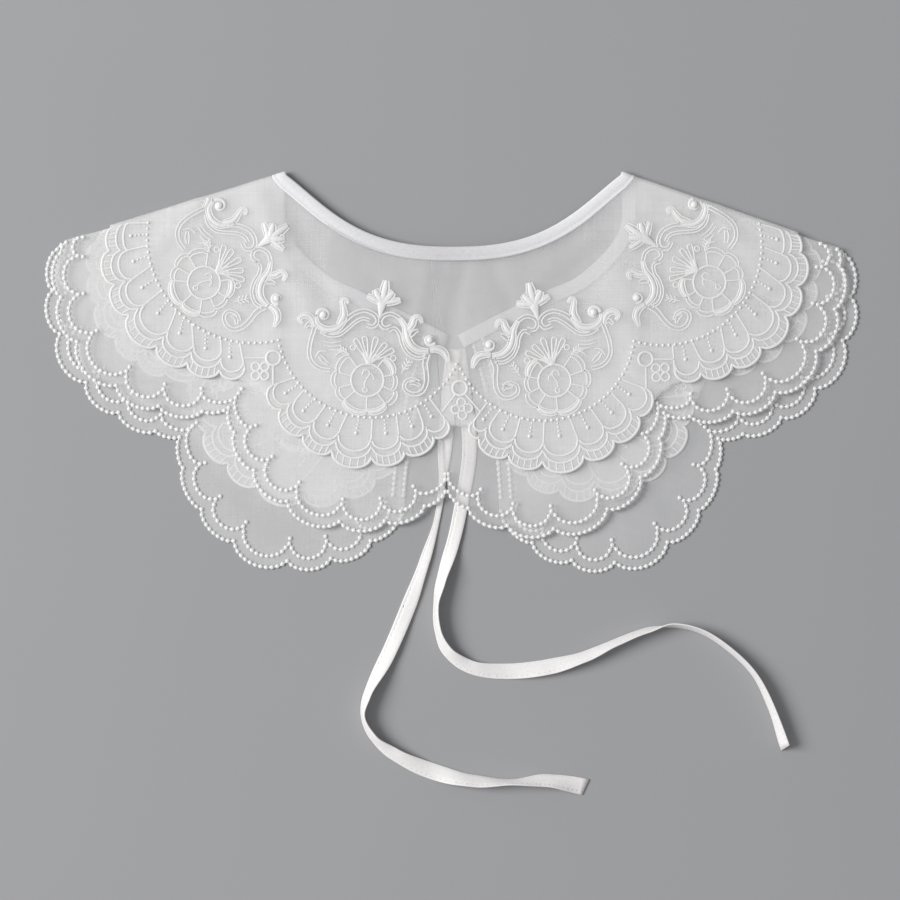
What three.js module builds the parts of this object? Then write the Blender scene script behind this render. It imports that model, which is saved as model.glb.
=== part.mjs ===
// A two-tier false collar of sheer white organza, laid flat: its back half is up, both shoulders
// are folded under, and the two ties run out from the front neck.
// Millimetres, +Z up. The collar stands on z = 0 and its back points to +Y.
import * as THREE from 'three';

// ---- driving dimensions -------------------------------------------------------------------

const CLOTH = 1.0; // wall of each cloth layer
const GAP = 0.3; // clearance between pieces that touch
const LAYER = CLOTH + GAP; // rise from one layer to the next
const BINDING_WIDTH = 7.0; // finished width of the neck binding
const BINDING_WALL = 2 * CLOTH + GAP; // the folded tape spans both tiers of a half

const CENTRE_X = 1.0; // middle of the neckline
const NECK_LOW_Y = 63.7; // back neckline at its middle
const NECK_TOP_Y = 99.4; // neckline at the shoulder folds
const NECK_HALF = 83.3; // middle to shoulder fold
const NECK_POWER = 2.5; // flatness of the back neckline
const SHOULDER_PULL = 0.8; // how much the back neckline straightens towards the shoulder
const PULL_POWER = 6; // how close to the shoulder that straightening starts
const FOLD_FALL = { left: 0.305, right: 0.342 }; // drop of each shoulder fold per mm outwards
const SEAM_TOP_X = -10.0; // centre-back seam at the binding
const BACK_NECK_POWER = 1.15; // over 1 packs the back neckline's points towards the shoulder fold
const SLOPE_STEP = 0.5; // half the span over which the back neckline's slope is measured

// Front neckline, from a shoulder fold to the front opening: distance from the middle, and y.
const FRONT_NECK = [
  { reach: 83.3, y: 99.4 },
  { reach: 82.8, y: 72.0 },
  { reach: 64.5, y: 50.8 },
  { reach: 46.5, y: 41.8 },
  { reach: 17.5, y: 27.6 },
  { reach: 2.0, y: 19.6 },
];

// The scallops of a lobe: the share of the lobe's edge that each takes, and its bulge over its
// width. The corner lobes turn up into the front opening.
const BEADED_SCALLOPS = [
  { share: 0.09, bulge: 0.12 },
  { share: 0.15, bulge: 0.19 },
  { share: 0.16, bulge: 0.22 },
  { share: 0.2, bulge: 0.24 },
  { share: 0.16, bulge: 0.22 },
  { share: 0.15, bulge: 0.19 },
  { share: 0.09, bulge: 0.12 },
];
const CORNER_SCALLOPS = [
  { share: 0.1, bulge: 0.12 },
  { share: 0.145, bulge: 0.16 },
  { share: 0.145, bulge: 0.19 },
  { share: 0.185, bulge: 0.26 },
  { share: 0.14, bulge: 0.23 },
  { share: 0.14, bulge: 0.21 },
  { share: 0.145, bulge: 0.16 },
];
const LACE_SCALLOPS = [
  { share: 0.125, bulge: 0.32 },
  { share: 0.145, bulge: 0.28 },
  { share: 0.14, bulge: 0.29 },
  { share: 0.175, bulge: 0.3 },
  { share: 0.145, bulge: 0.29 },
  { share: 0.14, bulge: 0.28 },
  { share: 0.13, bulge: 0.28 },
];
const VALLEY_BULGE = 0.3; // the flower in a lace valley pushes the hem out
const SCALLOP_STEPS = 3; // facets along a scallop
const SCALLOP_POWER = 0.7; // under 1 makes a scallop rounder than a parabola
const HEM_MARGIN = 0.9; // cloth outside the outermost bead or stitch line

// A lobe is a round bay of scallops on one arc, listed from the shoulder fold to the middle:
// the valleys it runs between, the arc's rise over their chord, and the part of the arc that
// the shoulder fold turns under.
const BACK_BEADED = {
  left: [
    { fromX: -191.8, fromY: 73.3, toX: -111.0, toY: -16.6, rise: 36.0, turned: 0.045 },
    { fromX: -111.0, fromY: -16.6, toX: -2.9, toY: -58.5, rise: 34.6, turned: 0 },
  ],
  right: [
    { fromX: 192.0, fromY: 67.0, toX: 106.2, toY: -19.3, rise: 33.5, turned: 0.02 },
    { fromX: 106.2, fromY: -19.3, toX: -1.5, toY: -58.5, rise: 37.0, turned: 0 },
  ],
};
const FRONT_BEADED = {
  left: [
    { fromX: -192.8, fromY: 74.3, toX: -135.8, toY: -31.3, rise: 29.5, turned: 0.05 },
    { fromX: -135.8, fromY: -31.3, toX: -24.3, toY: -67.3, rise: 43.5, turned: 0, corner: true },
  ],
  right: [
    { fromX: 192.3, fromY: 71.3, toX: 133.4, toY: -32.0, rise: 31.0, turned: 0.05 },
    { fromX: 133.4, fromY: -32.0, toX: 24.8, toY: -68.3, rise: 43.5, turned: 0, corner: true },
  ],
};
const BACK_LACE = {
  left: [
    { fromX: -168.5, fromY: 76.5, toX: -100.0, toY: 2.5, rise: 27.0, turned: 0.02 },
    { fromX: -91.0, fromY: -4.5, toX: 1.6, toY: -20.3, rise: 28.8, turned: 0 },
  ],
  right: [
    { fromX: 170.8, fromY: 74.3, toX: 110.0, toY: 0.4, rise: 26.0, turned: 0.02 },
    { fromX: 100.0, fromY: -7.6, toX: 3.4, toY: -20.5, rise: 29.2, turned: 0 },
  ],
};
const FRONT_LACE = {
  left: [
    { fromX: -171.8, fromY: 78.3, toX: -128.8, toY: -1.8, rise: 24.5, turned: 0.03 },
    { fromX: -127.3, fromY: -12.8, toX: -25.5, toY: -40.3, rise: 33.5, turned: 0 },
  ],
  right: [
    { fromX: 176.0, fromY: 75.5, toX: 124.3, toY: 1.3, rise: 25.0, turned: 0.03 },
    { fromX: 119.3, fromY: -10.3, toX: 26.3, toY: -38.8, rise: 33.0, turned: 0 },
  ],
};

// Where each tier's shoulder fold reaches the hem, as a distance from the middle of the neck.
const FOLD_END_REACH = {
  beaded: { left: 194.0, right: 192.5 },
  lace: { left: 171.0, right: 171.5 },
};

// Ties: each row is a point of the tape's middle line, its width there, how far it is tilted up
// onto one edge (degrees, over 90 where it has turned over), and how high its lower edge lies.
const TIE_WALL = 1.0;
const TIE_LEFT = [
  { x: 1.0, y: 12.5, width: 7.4, tilt: 0, lift: 1.3 },
  { x: -0.9, y: -6.0, width: 7.4, tilt: 0, lift: 1.3 },
  { x: -3.2, y: -34.3, width: 7.2, tilt: 0, lift: 0.15 },
  { x: -4.8, y: -55.8, width: 3.4, tilt: 0, lift: 0 },
  { x: -7.3, y: -72.8, width: 3.0, tilt: 0, lift: 0 },
  { x: -13.6, y: -93.8, width: 5.4, tilt: -14, lift: 0 },
  { x: -21.9, y: -116.8, width: 7.5, tilt: -6, lift: 0 },
  { x: -31.7, y: -139.8, width: 7.5, tilt: -18, lift: 0 },
  { x: -42.0, y: -159.8, width: 7.5, tilt: -60, lift: 0 },
  { x: -44.2, y: -170.5, width: 7.5, tilt: -76, lift: 0 },
  { x: -39.0, y: -181.3, width: 7.5, tilt: -62, lift: 0 },
  { x: -28.2, y: -189.8, width: 7.5, tilt: -30, lift: 0 },
  { x: -9.8, y: -198.2, width: 8.2, tilt: 0, lift: 0 },
  { x: 10.0, y: -202.8, width: 7.5, tilt: 42, lift: 0 },
  { x: 29.8, y: -203.5, width: 7.5, tilt: 76, lift: 0 },
  { x: 48.3, y: -202.8, width: 7.5, tilt: 38, lift: 0 },
  { x: 67.0, y: -206.2, width: 8.4, tilt: 0, lift: 0 },
];
const TIE_RIGHT = [
  { x: 3.4, y: 12.5, width: 7.4, tilt: 0, lift: 0 },
  { x: 6.4, y: -10.0, width: 7.4, tilt: 0, lift: 0 },
  { x: 9.0, y: -37.3, width: 7.2, tilt: 0, lift: 0 },
  { x: 5.3, y: -63.3, width: 6.8, tilt: 0, lift: 0 },
  { x: 1.0, y: -83.3, width: 6.6, tilt: -10, lift: 0 },
  { x: -5.3, y: -103.3, width: 7.5, tilt: -52, lift: 0 },
  { x: -7.7, y: -115.3, width: 7.5, tilt: -72, lift: 0 },
  { x: -6.8, y: -127.8, width: 7.5, tilt: -66, lift: 0 },
  { x: -2.0, y: -138.3, width: 7.5, tilt: -46, lift: 0 },
  { x: 10.0, y: -146.3, width: 7.0, tilt: -14, lift: 0 },
  { x: 26.8, y: -148.4, width: 7.8, tilt: 0, lift: 0 },
  { x: 48.3, y: -146.1, width: 8.2, tilt: 22, lift: 0 },
  { x: 66.8, y: -140.8, width: 7.5, tilt: 48, lift: 0 },
  { x: 82.0, y: -133.8, width: 7.5, tilt: 66, lift: 0 },
  { x: 97.3, y: -127.8, width: 7.5, tilt: 84, lift: 0 },
  { x: 111.0, y: -125.3, width: 7.5, tilt: 100, lift: 0 },
  { x: 124.8, y: -128.3, width: 7.5, tilt: 106, lift: 0 },
  { x: 138.8, y: -137.3, width: 7.5, tilt: 106, lift: 0 },
  { x: 151.2, y: -149.8, width: 7.5, tilt: 106, lift: 0 },
  { x: 158.9, y: -163.3, width: 7.5, tilt: 114, lift: 0 },
  { x: 166.3, y: -185.8, width: 7.5, tilt: 138, lift: 0 },
];
const TIE_STEPS_PER_POINT = 3;

// Heights of the middle of each layer, from the surface up.
const HEIGHT = {
  frontLace: CLOTH / 2,
  frontBeaded: CLOTH / 2 + LAYER,
  backBeaded: CLOTH / 2 + 2 * LAYER,
  backLace: CLOTH / 2 + 3 * LAYER,
};
const FRONT_BINDING_HEIGHT = (HEIGHT.frontLace + HEIGHT.frontBeaded) / 2;
const BACK_BINDING_HEIGHT = (HEIGHT.backBeaded + HEIGHT.backLace) / 2;

const ROWS = [0, 0.36, 0.7, 0.88, 1]; // cross-rows of a panel, neck to hem
const DROP_RUN = 0.12; // share of a panel over which it comes down off the lace below
const DROP_CLEARANCE = 6.5; // how far outside the lace arc the panel starts to come down
const DROP_EARLIEST = 0.5; // no panel comes down nearer the neck than this share of its length
const DROP_LATEST = 0.97; // and it is down at this share
const DROP_STEP = 0.01; // share by which the start of the drop is searched
const FOLD_STEPS = 4; // facets round a shoulder fold
const FOLD_REACH = 0.12; // part of the front neckline over which the fold's slant dies away
const FRONT_NECK_SHARE = 0.965; // where the front panels end; the binding runs a little further
const OPENING_BOW = 3.0; // how far the edges of the front opening curve apart in the middle
const BOW_POWER = 8; // how fast that curve dies away from the edge
const BINDING_STEPS = 14; // sections along each quarter of the neckline

// ---- small helpers ------------------------------------------------------------------------

const outwardSign = (side) => (side === 'left' ? -1 : 1);
const lerp = (a, b, t) => a + (b - a) * t;
const lerpPoint = (a, b, t) => ({ x: lerp(a.x, b.x, t), y: lerp(a.y, b.y, t) });

const UP = new THREE.Vector3(0, 0, 1);
const DOWN = new THREE.Vector3(0, 0, -1);

// The two faces of a wall at a point of its middle surface.
function twoFaces(point, normal, wall) {
  return {
    outer: point.clone().addScaledVector(normal, wall / 2),
    inner: point.clone().addScaledVector(normal, -wall / 2),
  };
}

// Closes a grid of point pairs (outer and inner face) into one thin solid.
// columns[i][j] = { outer: Vector3, inner: Vector3 }
function closedSheet(columns) {
  const rows = columns[0].length;
  const positions = [];
  const index = [];
  const id = (i, j, face) => 2 * (i * rows + j) + face;
  for (const column of columns) {
    for (const { outer, inner } of column) positions.push(...outer.toArray(), ...inner.toArray());
  }
  const quad = (a, b, c, d) => index.push(a, b, c, a, c, d);
  for (let i = 0; i < columns.length - 1; i += 1) {
    for (let j = 0; j < rows - 1; j += 1) {
      quad(id(i, j, 0), id(i + 1, j, 0), id(i + 1, j + 1, 0), id(i, j + 1, 0));
      quad(id(i, j, 1), id(i, j + 1, 1), id(i + 1, j + 1, 1), id(i + 1, j, 1));
    }
    quad(id(i, 0, 0), id(i, 0, 1), id(i + 1, 0, 1), id(i + 1, 0, 0));
    quad(id(i, rows - 1, 0), id(i + 1, rows - 1, 0), id(i + 1, rows - 1, 1), id(i, rows - 1, 1));
  }
  const last = columns.length - 1;
  for (let j = 0; j < rows - 1; j += 1) {
    quad(id(0, j, 0), id(0, j + 1, 0), id(0, j + 1, 1), id(0, j, 1));
    quad(id(last, j, 0), id(last, j, 1), id(last, j + 1, 1), id(last, j + 1, 0));
  }
  if (signedVolume(positions, index) < 0) index.reverse();
  const geometry = new THREE.BufferGeometry();
  geometry.setAttribute('position', new THREE.Float32BufferAttribute(positions, 3));
  geometry.setIndex(index);
  geometry.computeVertexNormals();
  return geometry;
}

function signedVolume(positions, index) {
  const corner = (k) => new THREE.Vector3().fromArray(positions, 3 * index[k]);
  let volume = 0;
  for (let k = 0; k < index.length; k += 3) {
    volume += corner(k).dot(corner(k + 1).cross(corner(k + 2))) / 6;
  }
  return volume;
}

// ---- outlines in plan ---------------------------------------------------------------------

const shoulderTip = (side) => ({ x: CENTRE_X + outwardSign(side) * NECK_HALF, y: NECK_TOP_Y });

// Unit direction of a shoulder fold, from the neck outwards, and the way that the cloth turns.
function foldFrame(side) {
  const out = outwardSign(side);
  const along = new THREE.Vector2(out, -FOLD_FALL[side]).normalize();
  const beyond = new THREE.Vector2(-along.y * out, along.x * out);
  return { along, beyond };
}

// Outward normal of the cloth at step k of a shoulder fold, from the back round to the front.
function foldNormal(side, k) {
  const { beyond } = foldFrame(side);
  const angle = (Math.PI * k) / FOLD_STEPS;
  const outwards = Math.sin(angle);
  return new THREE.Vector3(beyond.x * outwards, beyond.y * outwards, Math.cos(angle));
}

function foldPoint(side, distance) {
  const tip = shoulderTip(side);
  const { along } = foldFrame(side);
  return { x: tip.x + along.x * distance, y: tip.y + along.y * distance };
}

// A point that lies `reach` to the side of the neckline's middle, on the shoulder fold.
function foldEnd(side, reach) {
  const { along } = foldFrame(side);
  return foldPoint(side, (reach - NECK_HALF) / Math.abs(along.x));
}

// The neckline of one half from its shoulder fold (0) to the middle (1), moved `inset` outwards.
function neckline(side, half, inset) {
  const out = outwardSign(side);
  const tip = foldPoint(side, inset);
  if (half === 'back') {
    const middleX = SEAM_TOP_X - CENTRE_X;
    const rise = NECK_TOP_Y - NECK_LOW_Y;
    const yAt = (reach) => {
      const share = Math.abs(reach) / NECK_HALF;
      const pull = SHOULDER_PULL * share ** PULL_POWER * (1 - share);
      return NECK_LOW_Y + rise * (share ** NECK_POWER + pull);
    };
    return (t) => {
      if (t === 0) return tip;
      const reach = lerp(NECK_HALF, out * middleX, t ** BACK_NECK_POWER);
      const slope = (yAt(reach + SLOPE_STEP) - yAt(reach - SLOPE_STEP)) / (2 * SLOPE_STEP);
      const length = Math.hypot(slope, 1);
      return {
        x: CENTRE_X + out * (reach + (inset * slope) / length),
        y: yAt(reach) - inset / length,
      };
    };
  }
  const curve = new THREE.SplineCurve(
    FRONT_NECK.map(({ reach, y }) => new THREE.Vector2(CENTRE_X + out * reach, y)),
  );
  const { along } = foldFrame(side);
  return (t) => {
    if (t === 0) return tip;
    const point = curve.getPointAt(t);
    const tangent = curve.getTangentAt(t);
    const square = new THREE.Vector2(-tangent.y, tangent.x).multiplyScalar(out);
    const { x, y } = along.clone().lerp(square, Math.min(t / FOLD_REACH, 1)).normalize();
    return { x: point.x + x * inset, y: point.y + y * inset };
  };
}

// Centre and radius of a lobe's arc, with the unit direction that points out of the cloth.
function lobeArc(lobe, side) {
  const chord = new THREE.Vector2(lobe.toX - lobe.fromX, lobe.toY - lobe.fromY);
  const half = chord.length() / 2;
  const radius = (half * half + lobe.rise * lobe.rise) / (2 * lobe.rise);
  const sign = -outwardSign(side);
  const normal = new THREE.Vector2(chord.y, -chord.x).normalize().multiplyScalar(sign);
  const centre = new THREE.Vector2(lobe.fromX, lobe.fromY)
    .addScaledVector(chord, 0.5)
    .addScaledVector(normal, lobe.rise - radius);
  const turn = 2 * Math.atan2(half, radius - lobe.rise);
  return { centre, radius, normal, turn, sign };
}

function arcPoint({ centre, radius, normal, turn, sign }, t) {
  const offset = normal.clone().multiplyScalar(radius);
  offset.rotateAround(new THREE.Vector2(), (t - 0.5) * turn * sign);
  return { x: centre.x + offset.x, y: centre.y + offset.y };
}

// Points of one scallop after its first cusp, bulging out of the cloth.
function scallop(from, to, depth, sign) {
  const chordX = to.x - from.x;
  const chordY = to.y - from.y;
  const points = [];
  for (let k = 1; k <= SCALLOP_STEPS; k += 1) {
    const t = k / SCALLOP_STEPS;
    const bulge = depth * (4 * t * (1 - t)) ** SCALLOP_POWER * sign;
    points.push({
      x: from.x + chordX * t + chordY * bulge,
      y: from.y + chordY * t - chordX * bulge,
    });
  }
  return points;
}

// Hem of a panel from the shoulder fold to the middle.
function hemline(side, lobes, scallops, end) {
  const sign = -outwardSign(side);
  const points = [end];
  let last = end;
  for (const lobe of lobes) {
    const arc = lobeArc(lobe, side);
    arc.radius += HEM_MARGIN;
    const first = arcPoint(arc, 0);
    if (lobe.turned === 0 && Math.hypot(first.x - last.x, first.y - last.y) > BINDING_WIDTH) {
      points.push(...scallop(last, first, VALLEY_BULGE, sign));
      last = first;
    }
    const row = lobe.corner ? CORNER_SCALLOPS : scallops;
    let t = 0;
    for (const { share, bulge } of row) {
      const flat = t < lobe.turned;
      t += share;
      const cusp = arcPoint(arc, Math.min(t, 1));
      points.push(...scallop(last, cusp, flat ? 0 : bulge, sign));
      last = cusp;
    }
  }
  return points;
}

// ---- panels -------------------------------------------------------------------------------

// How far a point lies outside the arcs of the lace that is underneath.
function outsideLace(point, side) {
  const distances = FRONT_LACE[side].map((lobe) => {
    const { centre, radius } = lobeArc(lobe, side);
    return Math.hypot(point.x - centre.x, point.y - centre.y) - radius;
  });
  return Math.min(...distances);
}

// Share of a column at which it passes the lace underneath, or 1 where it never does.
function dropStart(neck, hem, side) {
  let t = 1;
  while (t > DROP_EARLIEST && outsideLace(lerpPoint(neck, hem, t), side) > DROP_CLEARANCE) {
    t -= DROP_STEP;
  }
  return t;
}

// One panel as columns of middle-surface points, from the shoulder fold to the middle.
function panel(side, { half, lobes, scallops, endReach, height, drops }) {
  const neck = neckline(side, half, BINDING_WIDTH + GAP);
  const hem = hemline(side, lobes, scallops, foldEnd(side, endReach));
  const isFront = half === 'front';
  return hem.map((foot, i) => {
    const across = i / (hem.length - 1);
    const top = neck(isFront ? across * FRONT_NECK_SHARE : across);
    const bow = isFront ? outwardSign(side) * OPENING_BOW * across ** BOW_POWER : 0;
    const start = drops ? dropStart(top, foot, side) : 1;
    const dropped = start < 1 - DROP_RUN / 2;
    const rows = dropped ? [0, start / 2, start, Math.min(start + DROP_RUN, DROP_LATEST), 1] : ROWS;
    return rows.map((t, j) => {
      const low = dropped && j > 2;
      const { x, y } = lerpPoint(top, foot, t);
      return new THREE.Vector3(x + bow * 4 * t * (1 - t), y, low ? HEIGHT.frontLace : height);
    });
  });
}

// Moves the last column of a back panel clear of the centre-back seam.
function trimAtSeam(columns, side) {
  const out = outwardSign(side);
  for (const point of columns.at(-1)) point.x += (out * GAP) / 2;
}

// One tier of one side: back panel, round shoulder fold and front panel in a single cloth.
function tierGeometry(side, back, front) {
  const backColumns = panel(side, back);
  const frontColumns = panel(side, front);
  trimAtSeam(backColumns, side);
  const walls = (columns, normal) =>
    columns.map((column) => column.map((point) => twoFaces(point, normal, CLOTH)));
  const sheet = walls(backColumns.toReversed(), UP);
  for (let k = 1; k < FOLD_STEPS; k += 1) {
    const normal = foldNormal(side, k);
    sheet.push(
      backColumns[0].map((top, j) => {
        const bottom = frontColumns[0][j];
        const middle = top.clone().add(bottom).multiplyScalar(0.5);
        return twoFaces(middle.addScaledVector(normal, (top.z - bottom.z) / 2), normal, CLOTH);
      }),
    );
  }
  sheet.push(...walls(frontColumns, DOWN));
  return closedSheet(sheet);
}

const beadedTier = (side) =>
  tierGeometry(
    side,
    {
      half: 'back',
      lobes: BACK_BEADED[side],
      scallops: BEADED_SCALLOPS,
      endReach: FOLD_END_REACH.beaded[side],
      height: HEIGHT.backBeaded,
    },
    {
      half: 'front',
      lobes: FRONT_BEADED[side],
      scallops: BEADED_SCALLOPS,
      endReach: FOLD_END_REACH.beaded[side],
      height: HEIGHT.frontBeaded,
      drops: true,
    },
  );

const laceTier = (side) =>
  tierGeometry(
    side,
    {
      half: 'back',
      lobes: BACK_LACE[side],
      scallops: LACE_SCALLOPS,
      endReach: FOLD_END_REACH.lace[side],
      height: HEIGHT.backLace,
    },
    {
      half: 'front',
      lobes: FRONT_LACE[side],
      scallops: LACE_SCALLOPS,
      endReach: FOLD_END_REACH.lace[side],
      height: HEIGHT.frontLace,
    },
  );

// ---- binding and ties ---------------------------------------------------------------------

// Sections of the binding along one half of the neckline, shoulder fold first.
function bindingSections(side, half, height, normal) {
  const inner = neckline(side, half, 0);
  const outer = neckline(side, half, BINDING_WIDTH);
  const sections = [];
  for (let k = 0; k <= BINDING_STEPS; k += 1) {
    const edges = [inner(k / BINDING_STEPS), outer(k / BINDING_STEPS)];
    sections.push(
      edges.map(({ x, y }) => twoFaces(new THREE.Vector3(x, y, height), normal, BINDING_WALL)),
    );
  }
  return sections;
}

// The binding of one side's shoulder fold, between its back and front sections.
function bindingFold(side) {
  const radius = (BACK_BINDING_HEIGHT - FRONT_BINDING_HEIGHT) / 2;
  const middle = (BACK_BINDING_HEIGHT + FRONT_BINDING_HEIGHT) / 2;
  const edges = [foldPoint(side, 0), foldPoint(side, BINDING_WIDTH)];
  const sections = [];
  for (let k = 1; k < FOLD_STEPS; k += 1) {
    const normal = foldNormal(side, k);
    sections.push(
      edges.map(({ x, y }) => {
        const point = new THREE.Vector3(x, y, middle).addScaledVector(normal, radius);
        return twoFaces(point, normal, BINDING_WALL);
      }),
    );
  }
  return sections;
}

// One tape round the whole neckline, from the left front opening to the right.
function bindingGeometry() {
  const front = (side) => bindingSections(side, 'front', FRONT_BINDING_HEIGHT, DOWN);
  const back = (side) => bindingSections(side, 'back', BACK_BINDING_HEIGHT, UP);
  return closedSheet([
    ...front('left').toReversed(),
    ...bindingFold('left').toReversed(),
    ...back('left').slice(0, -1),
    ...back('right').toReversed(),
    ...bindingFold('right'),
    ...front('right'),
  ]);
}

// A flat tape swept along its rows, rolled about its middle line by the tilt.
function tieGeometry(rows) {
  const count = (rows.length - 1) * TIE_STEPS_PER_POINT;
  const line = new THREE.CatmullRomCurve3(
    rows.map(({ x, y }) => new THREE.Vector3(x, y, 0)),
    false,
    'centripetal',
  );
  const columns = [];
  for (let k = 0; k <= count; k += 1) {
    const at = k / TIE_STEPS_PER_POINT;
    const row = Math.min(Math.floor(at), rows.length - 2);
    const blend = THREE.MathUtils.smoothstep(at - row, 0, 1);
    const mix = (name) => lerp(rows[row][name], rows[row + 1][name], blend);
    const tilt = THREE.MathUtils.degToRad(mix('tilt'));
    const width = mix('width');
    const point = line.getPoint(k / count);
    const tangent = line.getTangent(k / count);
    const across = new THREE.Vector3(tangent.y, -tangent.x, 0)
      .multiplyScalar(Math.cos(tilt))
      .addScaledVector(UP, Math.sin(tilt));
    const through = across.clone().cross(tangent).normalize();
    const rise = width * Math.abs(Math.sin(tilt)) + TIE_WALL * Math.abs(Math.cos(tilt));
    point.z = mix('lift') + rise / 2;
    const rims = [-width / 2, width / 2];
    columns.push(
      rims.map((reach) => twoFaces(point.clone().addScaledVector(across, reach), through, TIE_WALL)),
    );
  }
  return closedSheet(columns);
}

// ---- the collar ---------------------------------------------------------------------------

const organza = new THREE.MeshStandardMaterial({ color: '#dfe0e2', roughness: 0.5, metalness: 0 });
const laceOrganza = new THREE.MeshStandardMaterial({ color: '#ecebe8', roughness: 0.55, metalness: 0 });
const bindingTape = new THREE.MeshStandardMaterial({ color: '#efeeec', roughness: 0.6, metalness: 0 });
const tieTape = new THREE.MeshStandardMaterial({ color: '#f1eeea', roughness: 0.5, metalness: 0 });

const collar = new THREE.Group();

function add(name, geometry, material) {
  const mesh = new THREE.Mesh(geometry, material);
  mesh.name = name;
  collar.add(mesh);
}

for (const side of ['left', 'right']) {
  add(`beaded_tier_${side}`, beadedTier(side), organza);
  add(`lace_tier_${side}`, laceTier(side), laceOrganza);
}
add('neck_binding', bindingGeometry(), bindingTape);
add('tie_left', tieGeometry(TIE_LEFT), tieTape);
add('tie_right', tieGeometry(TIE_RIGHT), tieTape);

export default collar;
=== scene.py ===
"""A false collar of sheer white organza, laid flat with its shoulders folded under.

Two scalloped tiers: the lower one edged with two lines of raised round stitches, the upper one
embroidered. A folded tape binds the neck, and two tape ties run out from the front of it.
Plan sizes are in millimetres, and become metres where a mesh is made.
"""

import math
from collections import namedtuple

import bmesh
import bpy
from bpy.props import FloatProperty, FloatVectorProperty, PointerProperty
from mathutils import Matrix, Vector


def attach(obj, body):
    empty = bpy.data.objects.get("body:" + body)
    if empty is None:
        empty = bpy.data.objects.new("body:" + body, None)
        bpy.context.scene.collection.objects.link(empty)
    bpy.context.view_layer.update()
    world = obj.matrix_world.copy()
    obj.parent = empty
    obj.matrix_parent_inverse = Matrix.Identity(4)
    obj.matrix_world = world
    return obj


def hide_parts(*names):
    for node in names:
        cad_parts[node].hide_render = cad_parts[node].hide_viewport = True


bl_info = {
    "name": "False collar",
    "version": (1, 0, 0),
    "blender": (4, 5, 0),
    "location": "View3D > Sidebar > Collar",
    "description": "Makes a two-tier embroidered organza collar laid flat, piece by piece",
    "category": "Object",
}

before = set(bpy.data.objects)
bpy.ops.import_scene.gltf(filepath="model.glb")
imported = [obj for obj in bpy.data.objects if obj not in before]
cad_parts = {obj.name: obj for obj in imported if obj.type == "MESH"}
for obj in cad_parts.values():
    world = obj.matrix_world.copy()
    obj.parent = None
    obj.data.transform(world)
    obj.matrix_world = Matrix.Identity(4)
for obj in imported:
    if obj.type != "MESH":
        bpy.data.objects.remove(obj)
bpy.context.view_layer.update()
MM = 0.001

# ---- the cut, in millimetres ---------------------------------------------------------------

CENTRE_X = 1.0  # middle of the neckline
NECK_LOW_Y = 63.7  # back neckline at its middle
NECK_TOP_Y = 99.4  # neckline at the shoulder folds
NECK_HALF = 83.3  # middle to shoulder fold
NECK_POWER = 2.5  # flatness of the back neckline
SHOULDER_PULL = 0.8  # how much the back neckline straightens towards the shoulder
PULL_POWER = 6  # how close to the shoulder that straightening starts
BACK_NECK_POWER = 1.15  # over 1 packs the back neckline's points towards the shoulder fold
SLOPE_STEP = 0.5  # half the span over which the back neckline's slope is measured
FOLD_FALL = {"left": 0.305, "right": 0.342}  # drop of each shoulder fold per mm outwards
SEAM_TOP_X = -10.0  # centre-back seam at the binding
SEAM_GAP = 0.05  # between the two halves at the centre back
FOLD_REACH = 0.12  # part of the front neckline over which the fold's slant dies away
FRONT_NECK_SHARE = 0.965  # where the front panels end; the binding runs a little further
OPENING_BOW = 3.0  # how far the edges of the front opening curve apart in the middle
BOW_POWER = 8  # how fast that curve dies away from the edge
BINDING_WIDTH = 7.0
BINDING_HOLD = 0.9  # how far the cloth runs in under the binding

# Front neckline from a shoulder fold to the opening: distance from the middle, and y.
FRONT_NECK = [(83.3, 99.4), (82.8, 72.0), (64.5, 50.8), (46.5, 41.8), (17.5, 27.6), (2.0, 19.6)]

# A scallop's share of its lobe's edge, and its bulge over its width.
Scallop = namedtuple("Scallop", "share bulge")
BEADED_SCALLOPS = [
    Scallop(0.09, 0.12),
    Scallop(0.15, 0.19),
    Scallop(0.16, 0.22),
    Scallop(0.2, 0.24),
    Scallop(0.16, 0.22),
    Scallop(0.15, 0.19),
    Scallop(0.09, 0.12),
]
CORNER_SCALLOPS = [
    Scallop(0.1, 0.12),
    Scallop(0.145, 0.16),
    Scallop(0.145, 0.19),
    Scallop(0.185, 0.26),
    Scallop(0.14, 0.23),
    Scallop(0.14, 0.21),
    Scallop(0.145, 0.16),
]
LACE_SCALLOPS = [
    Scallop(0.125, 0.2),
    Scallop(0.145, 0.31),
    Scallop(0.14, 0.32),
    Scallop(0.175, 0.33),
    Scallop(0.145, 0.32),
    Scallop(0.14, 0.31),
    Scallop(0.13, 0.2),
]
CORNER_BULGES = (0.35, 0.38)  # of a lace lobe's first and last scallop, where it turns in
VALLEY_BULGE = 0.34  # the flower in a lace valley pushes the hem out
SEAM_BULGE = 0.12
HEM_MARGIN = {"beaded": 0.9, "lace": 0.7}  # cloth outside the outermost stitches

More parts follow.
